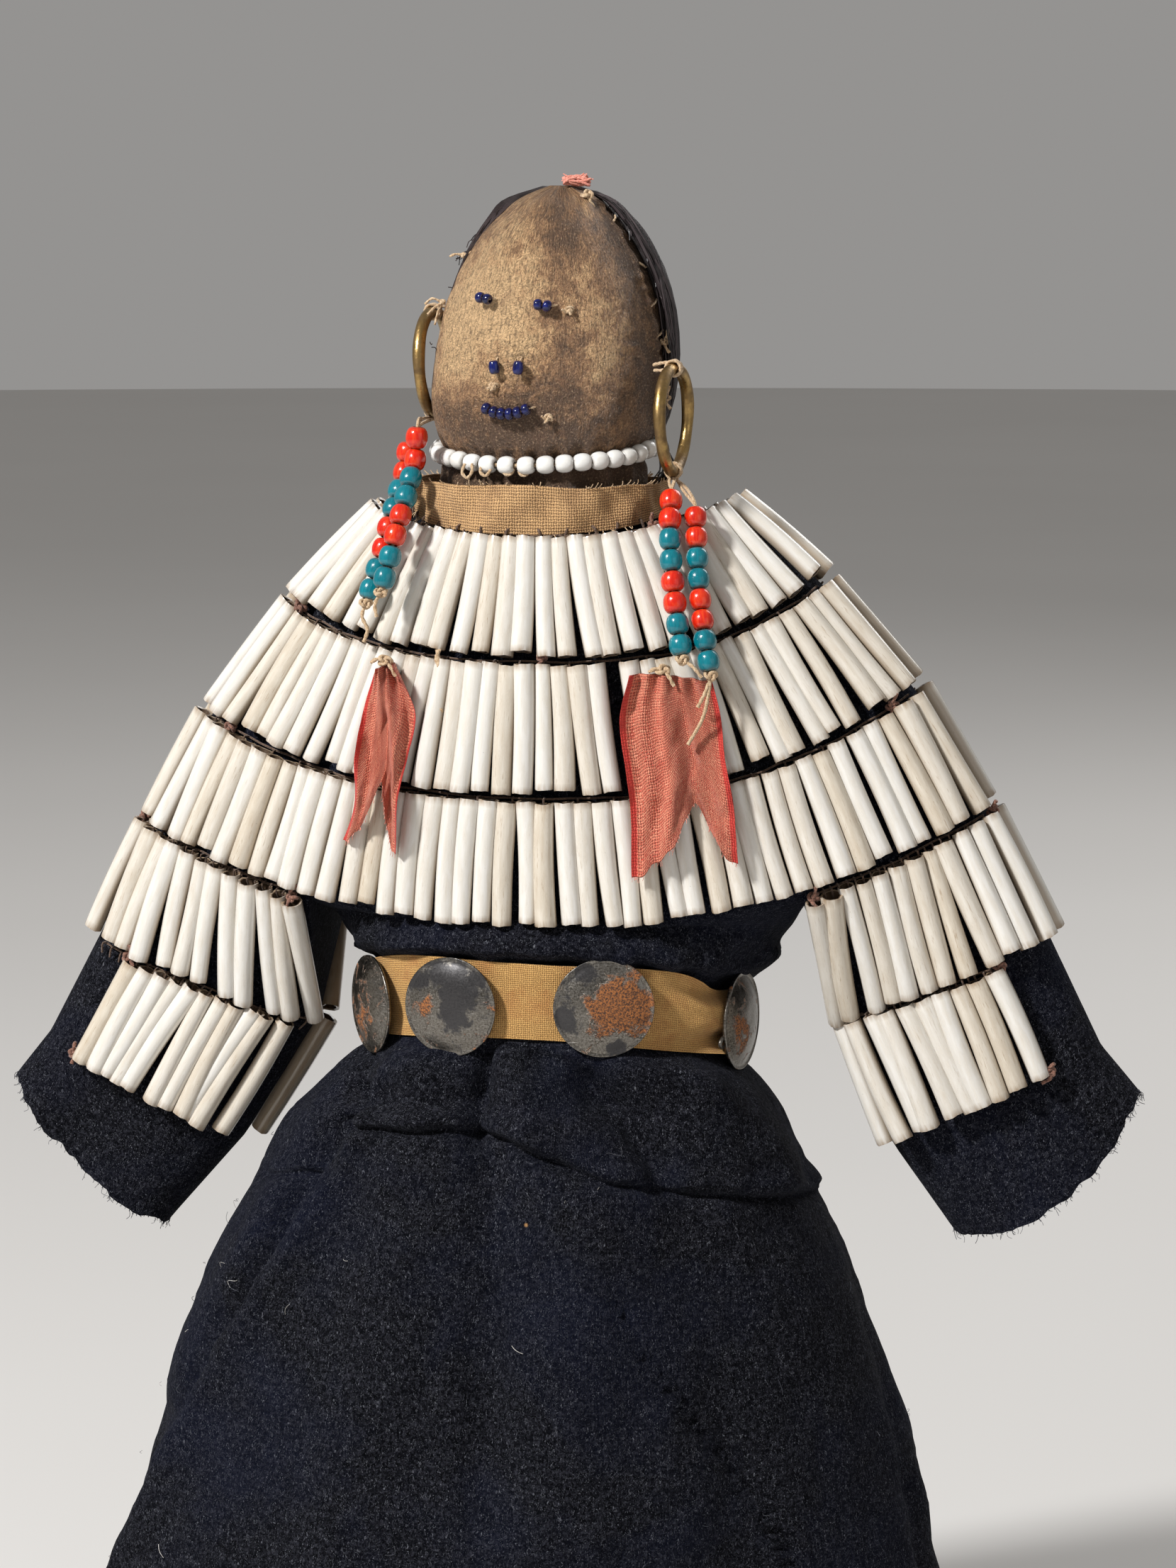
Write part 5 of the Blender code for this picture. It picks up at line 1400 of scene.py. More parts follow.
def make_hair():
    """Long strands drawn from the crown down the back and both sides, over a dark bound layer, with a thick
    lock along the hide's left edge, a thin one over its right shoulder of the crown, and stray ends."""
    skin = Skin()
    rows, columns = 30, 46
    height = np.linspace(313.0, 365.2, rows)[:, None]
    start = hair_edge(height) + 0.06
    turn = start + (np.radians(172.0) - start) * np.linspace(0.0, 1.0, columns)[None, :]
    edge = np.clip(np.minimum(np.arange(columns), columns - 1 - np.arange(columns)) / 5.0, 0.0, 1.0)[None, :]
    thick = 0.45 + 1.1 * edge * np.interp(height, (312.0, 336.0), (0.35, 1.0))
    outer = head_point(turn, height, 0.7 + thick + 0.25 * np.cos(26 * turn))
    inner = head_point(turn, height, 0.45)
    shell = np.concatenate([outer, inner[:, ::-1]], axis=1)
    skin.add(shell, tone=0.1)
    for _ in range(560):
        draw = chance.random(10)
        begin = radians(8.0 + 166.0 * draw[0])
        end = begin + radians(12.0) * (draw[1] - 0.5)
        top = 365.5 - 2.5 * draw[2]
        low = 312.6 + 5.0 * draw[3] ** 2
        full = 1.6 + 0.9 * draw[4]
        near = np.interp(abs(begin - pi / 2) / (pi / 2), (0.75, 1.0), (1.0, 0.6))
        skin.add(strand(
            [begin * 0.9 + 0.1, begin, begin, (begin + end) / 2, end],
            [top, 356.0, 342.0, 327.0, low],
            [1.2, full * near + 0.4, full * near + 0.6, full * near + 0.25, 1.2],
            0.15 + 0.12 * draw[5], wave=0.025 * draw[6], phase=6.0 * draw[7],
        ), tone=draw[8])
    for _ in range(260):
        draw = chance.random(10)
        heights = np.array([366.2, 362.5, 356.0, 347.0, 337.0, 328.0 - 6.0 * draw[0], 320.0 - 7.0 * draw[0]])
        turns = hair_edge(heights) + np.radians(1.0 + 20.0 * draw[1] + 3.0 * (chance.random(7) - 0.5))
        bulk = 2.1 * (1.0 - 0.45 * draw[1]) * draw[2] ** 0.6
        lifts = [0.6, 1.1 + bulk, 1.5 + bulk, 1.3 + bulk, 1.0 + bulk, 0.7 + 0.8 * bulk, 0.5 + 0.4 * bulk]
        keep = 7 if draw[3] < 0.7 else 6
        skin.add(strand(
            turns[:keep], heights[:keep], lifts[:keep], 0.15 + 0.13 * draw[8],
            wave=0.03 + 0.05 * draw[9], phase=7.0 * draw[4], count=22,
        ), tone=draw[5])
    for _ in range(190):
        draw = chance.random(10)
        skin.add(strand(
            np.radians([
                165.0, 193.0 + 5.0 * draw[0], 201.0 + 6.0 * draw[1], 204.0 + 5.0 * draw[2],
                204.0 + 3.0 * draw[9],
            ]),
            [366.0, 362.6, 358.5, 354.0 - 3.0 * draw[3], 350.0 - 9.0 * draw[4] ** 2],
            [0.3 + 2.2 * draw[5], 0.3 + 3.0 * draw[5], 0.3 + 1.9 * draw[5], 0.3 + 0.8 * draw[5], 0.3],
            0.13 + 0.10 * draw[8], wave=0.04 * draw[9], phase=7.0 * draw[0], count=18,
        ), tone=draw[1])
    for k in range(40):
        draw = chance.random(8)
        side = 1 if k % 3 else -1
        angle = radians(24.0 + 20.0 * draw[0]) if side > 0 else radians(176.0 - 14.0 * draw[0])
        root = head_point(angle, 314.0, 1.2)
        stops = [
            root, root + [side * (0.5 + draw[1]), 0.0, -4.0], root + [side * (0.8 + 2.0 * draw[2]), 0.5, -8.0],
            root + [side * (1.6 * draw[3] - 0.6), 0.8, -10.0 - 2.5 * draw[4]],
        ]
        skin.sew(stops, 14, 0.13 + 0.08 * draw[5], 3, tone=draw[6])
    for k in range(34):
        draw = chance.random(8)
        angle = hair_edge(330.0 + 34.0 * draw[1]) + 0.15 * draw[0] if k % 3 else radians(203.0)
        base = head_point(angle, 330.0 + 34.0 * draw[1], 1.4)
        away = unit(np.array([(draw[2] - 0.3) * (1 if k % 3 else -1), -0.5 * draw[3], 0.4 * draw[4]]))
        end = base + away * 1.9 + [0.0, 0.0, -3.5 * draw[5] - 0.5]
        stops = [base, base + away * 1.2 + [0.0, 0.0, -0.8], end]
        skin.sew(stops, 9, 0.09 + 0.05 * draw[6], 3, tone=draw[7])
    skin.build("hair_strands", HAIR, "dark_hair", ("hair",), smooth=60.0)


def wound(centre, size, normal, turns=2.0, count=46, seed=0.0, squash=0.7):
    """A knot: a path that winds round a ring and round itself, three times to every two turns."""
    across, other = square_to(normal)
    step = np.linspace(0.0, 2 * pi, count)
    reach = size * (0.62 + 0.34 * np.cos(3 * step + seed))
    return (
        np.asarray(centre, float)
        + (reach * np.cos(turns * step + seed))[:, None] * across
        + (reach * np.sin(turns * step + seed) * squash)[:, None] * other
        + (size * 0.55 * np.sin(3 * step + seed))[:, None] * unit(np.asarray(normal, float))
    )


def add_knot(skin, centre, size, normal=(0.0, -1.0, 0.0), thread=0.33, seed=0.0, tails=()):
    """A tight knot of plied thread, with tails that are lists of stops from its middle."""
    skin.add(tube(wound(centre, size, normal, seed=seed), thread, 8, plies=2, pitch=1.6), tone=seed % 1.0)
    for tail in tails:
        stops = np.vstack([centre, np.asarray(centre, float) + np.asarray(tail, float)])
        path = through(stops, max(10, 5 * len(stops)))
        skin.add(tube(path, thread * 0.92, 8, plies=2, pitch=1.6), tone=seed % 1.0)


def make_head_ties():
    """Pink yarn and a tan knot at the crown, knots and stitches in the face and down the side seam."""
    pink, string = Skin(), Skin()
    crown = head_frame(np.array([4.2, -1.0, HEAD_TOP + 0.5]))
    for k in range(9):
        draw = chance.random(6)
        reach = 1.9 + 0.8 * draw[0]
        step = np.linspace(0.0, 2 * pi, 34)
        loop = crown + np.stack([
            reach * np.cos(step) + 1.2 * (draw[1] - 0.5), 0.9 * np.sin(step + 6.0 * draw[2]) - 0.5 * draw[3],
            (0.45 + 0.55 * draw[4]) * np.sin(step + 0.9 * k) + 0.5 * draw[5],
        ], -1)
        pink.add(tube(loop, 0.30, 7, plies=2, pitch=1.8), tone=k / 9)
    for _ in range(10):
        draw = chance.random(5)
        tip = crown + [-3.6 + 7.2 * draw[0], -0.8, 0.2 + 1.9 * draw[1]]
        bend = (crown + tip) / 2 + [0.0, -0.4, 0.5 * draw[3]]
        pink.sew([crown + [2.4 * (draw[2] - 0.5), 0.0, 0.2], bend, tip], 9, 0.13, 5, tone=draw[2])
    pink.build("crown_yarn", PINK, "pink_yarn", ("hair_tie",))
    add_knot(string, head_frame(np.array([7.8, -3.6, HEAD_TOP - 2.2])), 1.25, (0.3, -1.0, 0.6), 0.42, 0.4,
             [((0.8, -0.4, -1.6), (1.9, 0.2, -3.4))])
    for x, height, size, seed in ((12.1, 340.7, 0.95, 0.3), (9.5, 318.1, 1.0, 2.0), (-2.5, 324.7, 1.0, 4.4)):
        spot = face_spot(x, height, 0.45)
        out = unit(spot - face_spot(x, height, -1.0))
        add_knot(string, spot, size, out, 0.30, seed,
                 [(out * 0.6 + [0.3, 0.0, 0.1], out * 1.2 + [0.9 * cos(seed), 0.0, -1.0]),
                  (out * 0.4 + [-0.4, 0.0, -0.2], out * 1.0 + [-1.1, 0.0, 0.5 * sin(seed)])])
    for height, turn, tails in (
        (351.5, 206.0, [((-1.6, -0.4, 0.3), (-3.0, -0.2, -0.2)), ((0.9, -0.8, 0.3), (1.8, -0.9, 0.9))]),
        (341.5, 204.0, [((-2.2, -0.4, 0.8), (-3.8, -0.2, -0.4)), ((-1.8, -0.3, -1.2), (-3.2, -0.2, -2.6)),
                        ((-1.0, 0.2, -2.0), (-1.8, 0.4, -4.8))]),
    ):
        spot = head_point(radians(turn), height, 1.4)
        add_knot(string, spot, 0.7, (-1.0, -0.4, 0.0), 0.28, height, tails)
    for height in (322.0, 334.5, 341.0, 350.5, 359.0):
        place = float(hair_edge(height)) - radians(3.0)
        rise = 1.4 * sin(height)
        left = head_point(place - 0.075, height, 0.5)
        right = head_point(place + 0.08, height + rise, 0.6)
        middle = head_point(place, height + rise / 2, 0.75)
        string.sew([left, middle, right], 9, 0.24, 7, plies=2, pitch=1.4, tone=height % 1.0)
    for height, size in ((333.5, 0.9), (321.5, 1.1)):
        spot = head_point(hair_edge(height) - 0.02, height, 1.0)
        add_knot(string, spot, size, (1.0, -0.6, 0.0), 0.34, height,
                 [((0.6, -0.6, 1.2), (0.9, -0.6, 2.6)), ((0.4, -0.5, -1.2), (1.2, -0.4, -2.4))])
    string.build("head_sinew", STRING)


# Beads

def bead_grid(centre, axis, diameter, length, hole=0.32, sides=22, squareness=0.75):
    """A glass bead with its hole: out from the hole's rim over a flattened round belly, and back inside."""
    angle = np.linspace(0.12, pi - 0.12, 12)
    inner = hole * diameter / 2
    out = inner + (diameter / 2 - inner) * np.sin(angle) ** squareness
    along = -length / 2 * np.cos(angle) / cos(0.12)
    across, other = square_to(axis)
    turn = circle(sides)
    spoke = np.cos(turn)[:, None] * across + np.sin(turn)[:, None] * other
    ahead = unit(np.asarray(axis, float))
    grid = np.asarray(centre) + along[:, None, None] * ahead + out[:, None, None] * spoke
    lay = np.stack([
        out[:, None] * np.cos(turn), out[:, None] * np.sin(turn),
        np.broadcast_to((2.0 * along / length)[:, None], (12, sides)),
    ], -1)
    return grid, lay


def add_bead(skin, centre, axis, diameter, length, **shape):
    """A bead a little off its size, with a tone of its own."""
    draw = chance.random(3)
    diameter, length = diameter * (0.96 + 0.07 * draw[0]), length * (0.97 + 0.05 * draw[1])
    grid, lay = bead_grid(centre, axis, diameter, length, **shape)
    skin.add(grid, loop=True, tone=draw[2], lay=lay)


def make_face_beads():
    """Two cobalt beads for each eye, one upright bead beside each nostril, and six in a curve for the mouth."""
    thread = Skin()
    for side, word in ((1, "left"), (-1, "right")):
        skin = Skin()
        middle = side * EYE_APART + EYE_SHIFT
        level = EYE_HEIGHT[side]
        spots = [face_spot(middle + step * 0.95, level - 0.14 * step, 1.7) for step in (-1, 1)]
        for k, spot in enumerate(spots):
            add_bead(skin, spot, spots[1] - spots[0] + [0.0, 0.0, 0.7 * (0.5 - k)], *EYE_BEAD, hole=0.34)
        skin.build(f"eye_beads_{word}_glass", COBALT, "cobalt_glass", (f"eye_beads_{word}",))
        ends = [face_spot(middle + step * 2.3, level, 0.0) for step in (-1, 1)]
        thread.sew([ends[0], spots[0], spots[1], ends[1]], 14, 0.2, 6)
        skin = Skin()
        middle = side * NOSE_APART + FACE_SHIFT
        spot = face_spot(middle, NOSE_HEIGHT, 1.8)
        add_bead(skin, spot, (0.12 * side, 0.0, 1.0), *NOSE_BEAD, hole=0.3, squareness=0.55)
        skin.build(f"nose_bead_{word}_glass", COBALT, "cobalt_glass", (f"nose_bead_{word}",))
        ends = [face_spot(middle, NOSE_HEIGHT + step * 2.2, 0.0) for step in (-1, 1)]
        thread.sew([ends[0], spot, ends[1]], 12, 0.2, 6)
    skin = Skin()
    asides = [(k - 2.5) * MOUTH_STEP for k in range(6)]
    spots = [face_spot(aside + FACE_SHIFT, MOUTH_HEIGHT + 0.05 * aside**2, 1.85) for aside in asides]
    for k, spot in enumerate(spots):
        ahead = spots[min(k + 1, 5)] - spots[max(k - 1, 0)]
        add_bead(skin, spot, ahead, *MOUTH_BEAD, hole=0.3)
    skin.build("mouth_beads_glass", COBALT, "cobalt_glass", ("mouth_beads",))
    ends = [face_spot(step * 5.8 + FACE_SHIFT, 320.4, 0.0) for step in (-1, 1)]
    thread.sew([ends[0], *spots, ends[1]], 30, 0.22, 6)
    thread.build("face_bead_thread", STRING)


def make_necklace():
    """White beads on a string round the neck, with string loops that hang under it in front."""
    skin, string = Skin(), Skin()
    width, depth = head_size(308.6)
    reach = 2.65
    turn = circle(NECKLACE_COUNT)
    x, y = oval(width + reach, depth + reach, turn, NECK_ROUNDNESS)
    height = 310.6 + 2.3 * np.minimum(y, 0.0) / depth + 0.12 * np.sin(5 * turn)
    centres = head_frame(np.stack([x, y, height], -1))
    for k in range(NECKLACE_COUNT):
        ahead = centres[(k + 1) % NECKLACE_COUNT] - centres[k - 1]
        add_bead(skin, centres[k], ahead, *NECKLACE_BEAD, hole=0.28)
    skin.build("necklace_beads", WHITE, "white_glass", ("necklace",))
    looped = np.vstack([centres, centres[:1]])
    string.sew(looped, 150, 0.45, 6)
    for x, drop in ((-15.5, 2.2), (-11.6, 1.7), (-6.6, 1.5), (-3.2, 1.6)):
        top = np.array([x, -19.6, 307.3])
        stops = [top + [-0.9, 1.0, 0.6], top + [-1.0, -0.6, -drop * 0.6], top + [0.0, -0.8, -drop],
                 top + [0.9, -0.4, -drop * 0.5], top + [0.7, 1.0, 0.6]]
        string.sew(stops, 22, 0.34, 8, plies=2, pitch=1.4)
    string.build("necklace_string", STRING)


def make_hoops():
    """Brass rings of thick wire, worn uneven, tied to the head and to the strands with tan string."""
    string = Skin()
    step = circle(120)
    turn = circle(16)
    for name, centre in HOOPS.items():
        centre = np.array(centre)
        middle = (HOOP_DIAMETER - HOOP_WIRE) / 2
        slant = radians(-6.0 if centre[0] > 0 else -4.0)
        facing = np.array([cos(slant), sin(slant), 0.0])
        spoke = np.stack([-sin(slant) * np.cos(step), cos(slant) * np.cos(step), np.sin(step)], -1)
        wire = HOOP_WIRE / 2 * (1.0 + 0.05 * np.sin(3 * step) + 0.03 * np.sin(7 * step))
        ring = centre + middle * spoke + 0.25 * np.sin(2 * step)[:, None] * facing
        grid = ring[:, None] + wire[:, None, None] * (
            np.cos(turn)[None, :, None] * spoke[:, None] + np.sin(turn)[None, :, None] * facing
        )
        Skin().add(grid, loop=True).build(name + "_hoop", BRASS, "aged_brass", (name,), smooth=80.0)
        side = 1 if centre[0] > 0 else -1
        for end, count in ((1.0, 4), (-1.0, 3)):
            spot = centre + [0.0, 0.0, end * middle]
            for k in range(count):
                around = np.linspace(0.0, 2 * pi, 26)
                offset = np.array([0.0, (k - count / 2) * 0.62, 0.0])
                reach = HOOP_WIRE / 2 + 0.3
                loop = spot + offset + np.stack([
                    reach * np.cos(around), 0.15 * np.sin(2 * around + k), reach * np.sin(around),
                ], -1)
                string.add(tube(loop, 0.33, 8, plies=2, pitch=1.5), tone=0.2 * k)
            if end > 0:
                into = np.array([spot[0] - side * 4.6, spot[1] + 1.5, spot[2] + 0.6])
                stops = [spot + [-side * 1.0, -0.6, 1.2], (spot + into) / 2 + [0.0, -0.8, 0.8], into]
                string.sew(stops, 14, 0.36, 8, plies=2, pitch=1.5)
                halfway = (spot + into) / 2 + [0.0, 0.4, -0.7]
                stops = [spot + [-side * 0.8, 0.8, 0.6], halfway, into + [0.0, 0.5, -1.2]]
                string.sew(stops, 14, 0.34, 8, plies=2, pitch=1.5)
    string.build("hoop_string", STRING)


def drop_course(first, last, bow, before):
    """The line that a strand hangs on, in front of the shells, and its bead centres evenly along it."""
    reach = (SEAT + SHELL_DIAMETER + DROP_BEAD / 2 + GAP) * SLOPE_ALLOWANCE
    course = []
    for share in np.linspace(0.0, 1.0, 60):
        x = first[0] + share * (last[0] - first[0]) + bow * sin(pi * share)
        z = first[1] + share * (last[1] - first[1])
        course.append(np.array([x, -max(wool_depth(x, z) + reach, DROP_START) - before, z]))
    course = np.array(course)
    walked = lengths_along(course)
    stops = np.linspace(0.0, walked[-1], 8)
    return np.stack([np.interp(stops, walked, course[:, axis]) for axis in range(3)], -1)


DROP_TAILS = {  # string ends under each strand, as stops from its knot
    "left_inner": [((2.4, -0.8, -1.4), (4.2, -0.6, -3.6))],
    "left_outer": [((-0.4, -0.8, -4.0), (-1.4, -1.0, -8.5), (-4.6, -1.2, -14.5)),
                   ((-1.0, -1.0, -3.4), (-2.6, -1.0, -6.6))],
    "right_front": [((-1.2, -0.6, -2.6), (-0.8, -0.8, -5.2))],
    "right_back": [((-0.8, -0.4, -2.6), (0.4, -0.6, -5.6), (-0.4, -0.6, -8.2))],
}


def make_drops():
    """Strands of glass beads under the hoops, on string that ends in knots and tails."""
    string = Skin()
    for strand_name, (first, last, bow, before) in DROPS.items():
        centres = drop_course(first, last, bow, before)
        spacing = min(np.linalg.norm(np.diff(centres, axis=0), axis=1))
        for pair, colour in enumerate(DROP_COLOURS):
            skin = Skin()
            for k in (2 * pair, 2 * pair + 1):
                ahead = centres[min(k + 1, 7)] - centres[max(k - 1, 0)]
                add_bead(skin, centres[k], ahead, DROP_BEAD, spacing * 0.985, hole=0.26, squareness=0.7)
            word = colour.split("_")[1]
            node = f"drop_{strand_name}_{colour}"
            skin.build(node + "_glass", RED if word == "red" else TEAL, f"{word}_glass", (node,))
        side = 1 if first[0] > 0 else -1
        hoop = np.array(HOOPS["earring_left" if side > 0 else "earring_right"]) + [0.0, 0.0, -10.8]
        above = centres[0] + unit(centres[0] - centres[1]) * 2.6
        below = centres[-1] + unit(centres[-1] - centres[-2]) * 3.1
        halfway = (hoop + above) / 2
        stops = [hoop + [0.0, -0.6, -1.4], halfway + [0.5 * side, -0.6, 0.0], above, *centres, below]
        string.sew(stops, 90, 0.36, 6)
        stops = [hoop + [0.4, 0.5, -1.3], halfway + [-0.7, 0.3, 0.0], above]
        string.sew(stops, 16, 0.33, 8, plies=2, pitch=1.5)
        seed = 1.0 + len(strand_name)
        add_knot(string, below, 1.35, (0.2, -1.0, 0.1), 0.42, seed, DROP_TAILS[strand_name])
    string.build("drop_string", STRING)


# Collar and ribbons

def make_collar():
    """Coarse gauze round the neck, rumpled, with thread ends along both edges and brown stitches below."""
    columns, rows = 420, 34
    turn = circle(columns, -pi)
    down = np.linspace(0.0, 1.0, rows)[:, None]
    swing = np.abs(np.sin(turn))[None, :]
    bottom = COLLAR_BOTTOM + COLLAR_RISE - COLLAR_RISE * swing - 0.2
    top = COLLAR_TOP + 0.25 * np.sin(7 * turn)[None, :] + 0.2 * np.sin(3 * turn + 1.0)[None, :]
    height = top + down * (bottom - top)
    rumple = 0.42 * np.sin(11 * turn + 3.0 * down) + 0.30 * np.sin(23 * turn - 5.0 * down + 1.0)
    reach = GAP + 0.95 + rumple * (0.4 + 0.6 * np.sin(pi * down))
    grids = []
    for extra in (0.0, -0.42):
        x, y = oval(NECK[1] + reach + extra, NECK[2] + reach + extra, turn[None, :], NECK_ROUNDNESS)
        grids.append(np.stack([x + NECK[0], y, height], -1))
    outer, inner = grids
    flat = flat_grid(outer)
    u, v = flat[:, :-1, 0] / GAUZE_PITCH, flat[:, :-1, 1] / GAUZE_PITCH
    threads = np.maximum(
        np.sin(pi * (u % 1.0)) * (0.6 + 0.4 * np.cos(pi * (v - 0.5 + np.floor(u)))),
        np.sin(pi * (v % 1.0)) * (0.6 + 0.4 * np.cos(pi * (u + 0.5 + np.floor(v)))),
    )
    outer = outer + (0.16 * threads)[..., None] * unit(outer * [1.0, 1.0, 0.0] - [NECK[0], 0.0, 0.0])
    collar = band(outer, inner, flat).build("collar_gauze", GAUZE, "tan_gauze", ("collar",), smooth=75.0)
    ends, stitches = Skin(), Skin()
    for _ in range(150):
        draw = chance.random(6)
        column = int(draw[0] * columns)
        edge = 0 if draw[1] < 0.55 else -1
        base = outer[edge, column]
        sign = 1.0 if edge == 0 else -1.0
        out = unit(base * [1.0, 1.0, 0.0] - [NECK[0], 0.0, 0.0])
        tip = base + out * (0.3 + 0.7 * draw[2]) + np.array([draw[3] - 0.5, 0.0, sign * (0.4 + 0.9 * draw[4])])
        ends.sew([base, (base + tip) / 2 + out * 0.15, tip], 6, 0.11, 4, tone=draw[5])
    ends.build("collar_thread_ends", STRING)
    for k, degrees in enumerate(np.arange(-170.0, 180.0, 12.5)):
        column = int((degrees + 180.0) / 360.0 * columns) % columns
        base = outer[-1, column]
        out = unit(base * [1.0, 1.0, 0.0] - [NECK[0], 0.0, 0.0])
        lean = 0.8 * sin(3.0 * k)
        stops = [
            base + [0.0, 0.0, 1.3] - out * 0.2, base + [lean * 0.5, 0.0, 0.6] + out * 0.45,
            base + [lean, 0.0, -0.5] + out * 0.35,
        ]
        stitches.sew(stops, 10, 0.27, 7, plies=2, pitch=1.4, tone=0.1 * k)
    stitches.build("collar_stitches", SINEW)


def make_ribbon(node, side):
    """A taffeta ribbon tied at the top: its two edges follow the levels, one deep fold runs down it, and its
    lower edge is cut into two tails with a notch between them."""
    levels = np.array(RIBBON_LEVELS[side][::-1])
    rows, columns = 96, 56
    across = np.linspace(0.0, 1.0, columns)[None, :]
    down = np.linspace(0.0, 1.0, rows)[:, None]
    fold_at = 0.63 if side > 0 else 0.48
    tip = 3.2 * np.exp(-(((across - 0.04) / 0.14) ** 2)) + 1.2 * np.exp(-(((across - 0.97) / 0.12) ** 2))
    notch = 12.5 * np.exp(-np.abs((across - fold_at) / 0.19) ** 1.5)
    lowest = levels[0, 0] - tip + notch + 0.35 * np.sin(40 * across)
    highest = levels[-1, 0] + 0.9 * np.sin(3.0 * across + 1.0)
    height = highest + down * (lowest - highest)
    edges = glide(np.clip(height, levels[0, 0] - 3.5, levels[-1, 0] + 1.0), levels[:, 0], levels[:, 1:])
    x = side * (edges[..., 0] + across * (edges[..., 1] - edges[..., 0]))
    x = x + 0.25 * np.sin(9 * down + 1.0 + side)
    depth = np.array([
        [wool_depth(a, b) for a, b in zip(row_x, row_z)] for row_x, row_z in zip(x[::5, ::5], height[::5, ::5])
    ])
    for count in (columns, rows):
        depth = np.array([np.interp(np.arange(count), np.arange(0, count, 5), row) for row in depth]).T
    deep = np.exp(-(((across - fold_at) / 0.085) ** 2)) * np.clip(down * 2.2, 0.15, 1.0)
    rolls = 0.9 * np.cos(2 * pi * across * 1.6 + 0.8 + 1.2 * down)
    rolls = rolls + 0.45 * np.sin(2 * pi * across * 4.0 + 5.0 * down)
    gathered = 1.2 * np.cos(2 * pi * across * 4.5 + 2.0 * down) * np.exp(-down * 4.0)
    rolls = rolls + 0.55 * np.abs(np.sin(3.0 * pi * (across + 0.9 * down) + 0.7))
    rolls = rolls - 0.4 * np.abs(np.sin(2.3 * pi * (across - 1.3 * down)))
    twist = 2.5 * np.cos(2 * pi * (1.25 * across + 1.15 * down) + 0.6) if side < 0 else 0.0
    stand = SEAT + SHELL_DIAMETER + RIBBON_STAND + rolls * (0.35 + 0.65 * down) - 2.3 * deep + gathered + twist
    y = -(depth + np.maximum(stand, SEAT + SHELL_DIAMETER + RIBBON_LEAST))
    outer = np.stack([x, y, height], -1)
    outer = outer + 0.22 * ripple(outer, 2.5, 51)[..., None] * [0.0, 1.0, 0.0]
    flat = flat_grid(outer, wrap=False)
    from_edge = np.minimum(flat[..., 0], flat[..., 0].max() - flat[..., 0])
    inner = outer + [0.0, 0.32, 0.0]
    grid = np.concatenate([outer, inner[:, ::-1]], axis=1)
    wide = np.concatenate([flat, flat[:, ::-1], flat[:, :1]], axis=1)
    tone = np.concatenate([from_edge, from_edge[:, ::-1]], axis=1)
    skin = Skin().add(grid, tone=tone, flat=wide, first=False, last=False)
    for row in (0, rows - 1):
        strip = np.stack([grid[row, :columns], grid[row, columns:][::-1]])
        ends = np.stack([flat[row], flat[row]])
        skin.add(strip, wrap=False, tone=np.stack([from_edge[row], from_edge[row]]), flat=ends)
    ribbon = skin.build(node + "_taffeta", RIBBON, "coral_ribbon", (node,), smooth=70.0)
    close_doubles(ribbon)
    ends = Skin()
    for _ in range(46):
        draw = chance.random(5)
        base = outer[-1, int(draw[0] * (columns - 1))]
        end = base + [0.5 * (draw[1] - 0.5), -0.3 * draw[2], -0.3 - 0.9 * draw[3]]
        ends.sew([base, (base + end) / 2 + [0.1, -0.1, 0.0], end], 5, 0.06, 3, tone=draw[4])
    ends.build(node + "_fray", PINK)


def close_doubles(piece):
    """Joins points that lie on each other, so that a sheet's strips close it."""
    shape = bmesh.new()
    shape.from_mesh(piece.data)
    bmesh.ops.remove_doubles(shape, verts=shape.verts, dist=0.000002)
    bmesh.ops.recalc_face_normals(shape, faces=shape.faces)
    shape.to_mesh(piece.data)
    shape.free()


def make_ribbon_knots():
    """The tan knots that tie the ribbons on, with their ends."""
    skin = Skin()
    for x, z, seed in ((28.5, 266.2, 0.5), (-31.5, 266.8, 2.5)):
        spot = np.array([x, -(wool_depth(x, z) + SEAT + SHELL_DIAMETER + 3.6), z])
        add_knot(skin, spot, 1.5, (0.1, -1.0, 0.3), 0.42, seed,
                 [((-1.5, -0.5, 0.4), (-3.0, -0.3, -0.4)), ((1.2, -0.8, -1.0), (2.4, -0.6, -3.2))])
    skin.build("ribbon_string", STRING)


# Loose yarn, fibres and lint

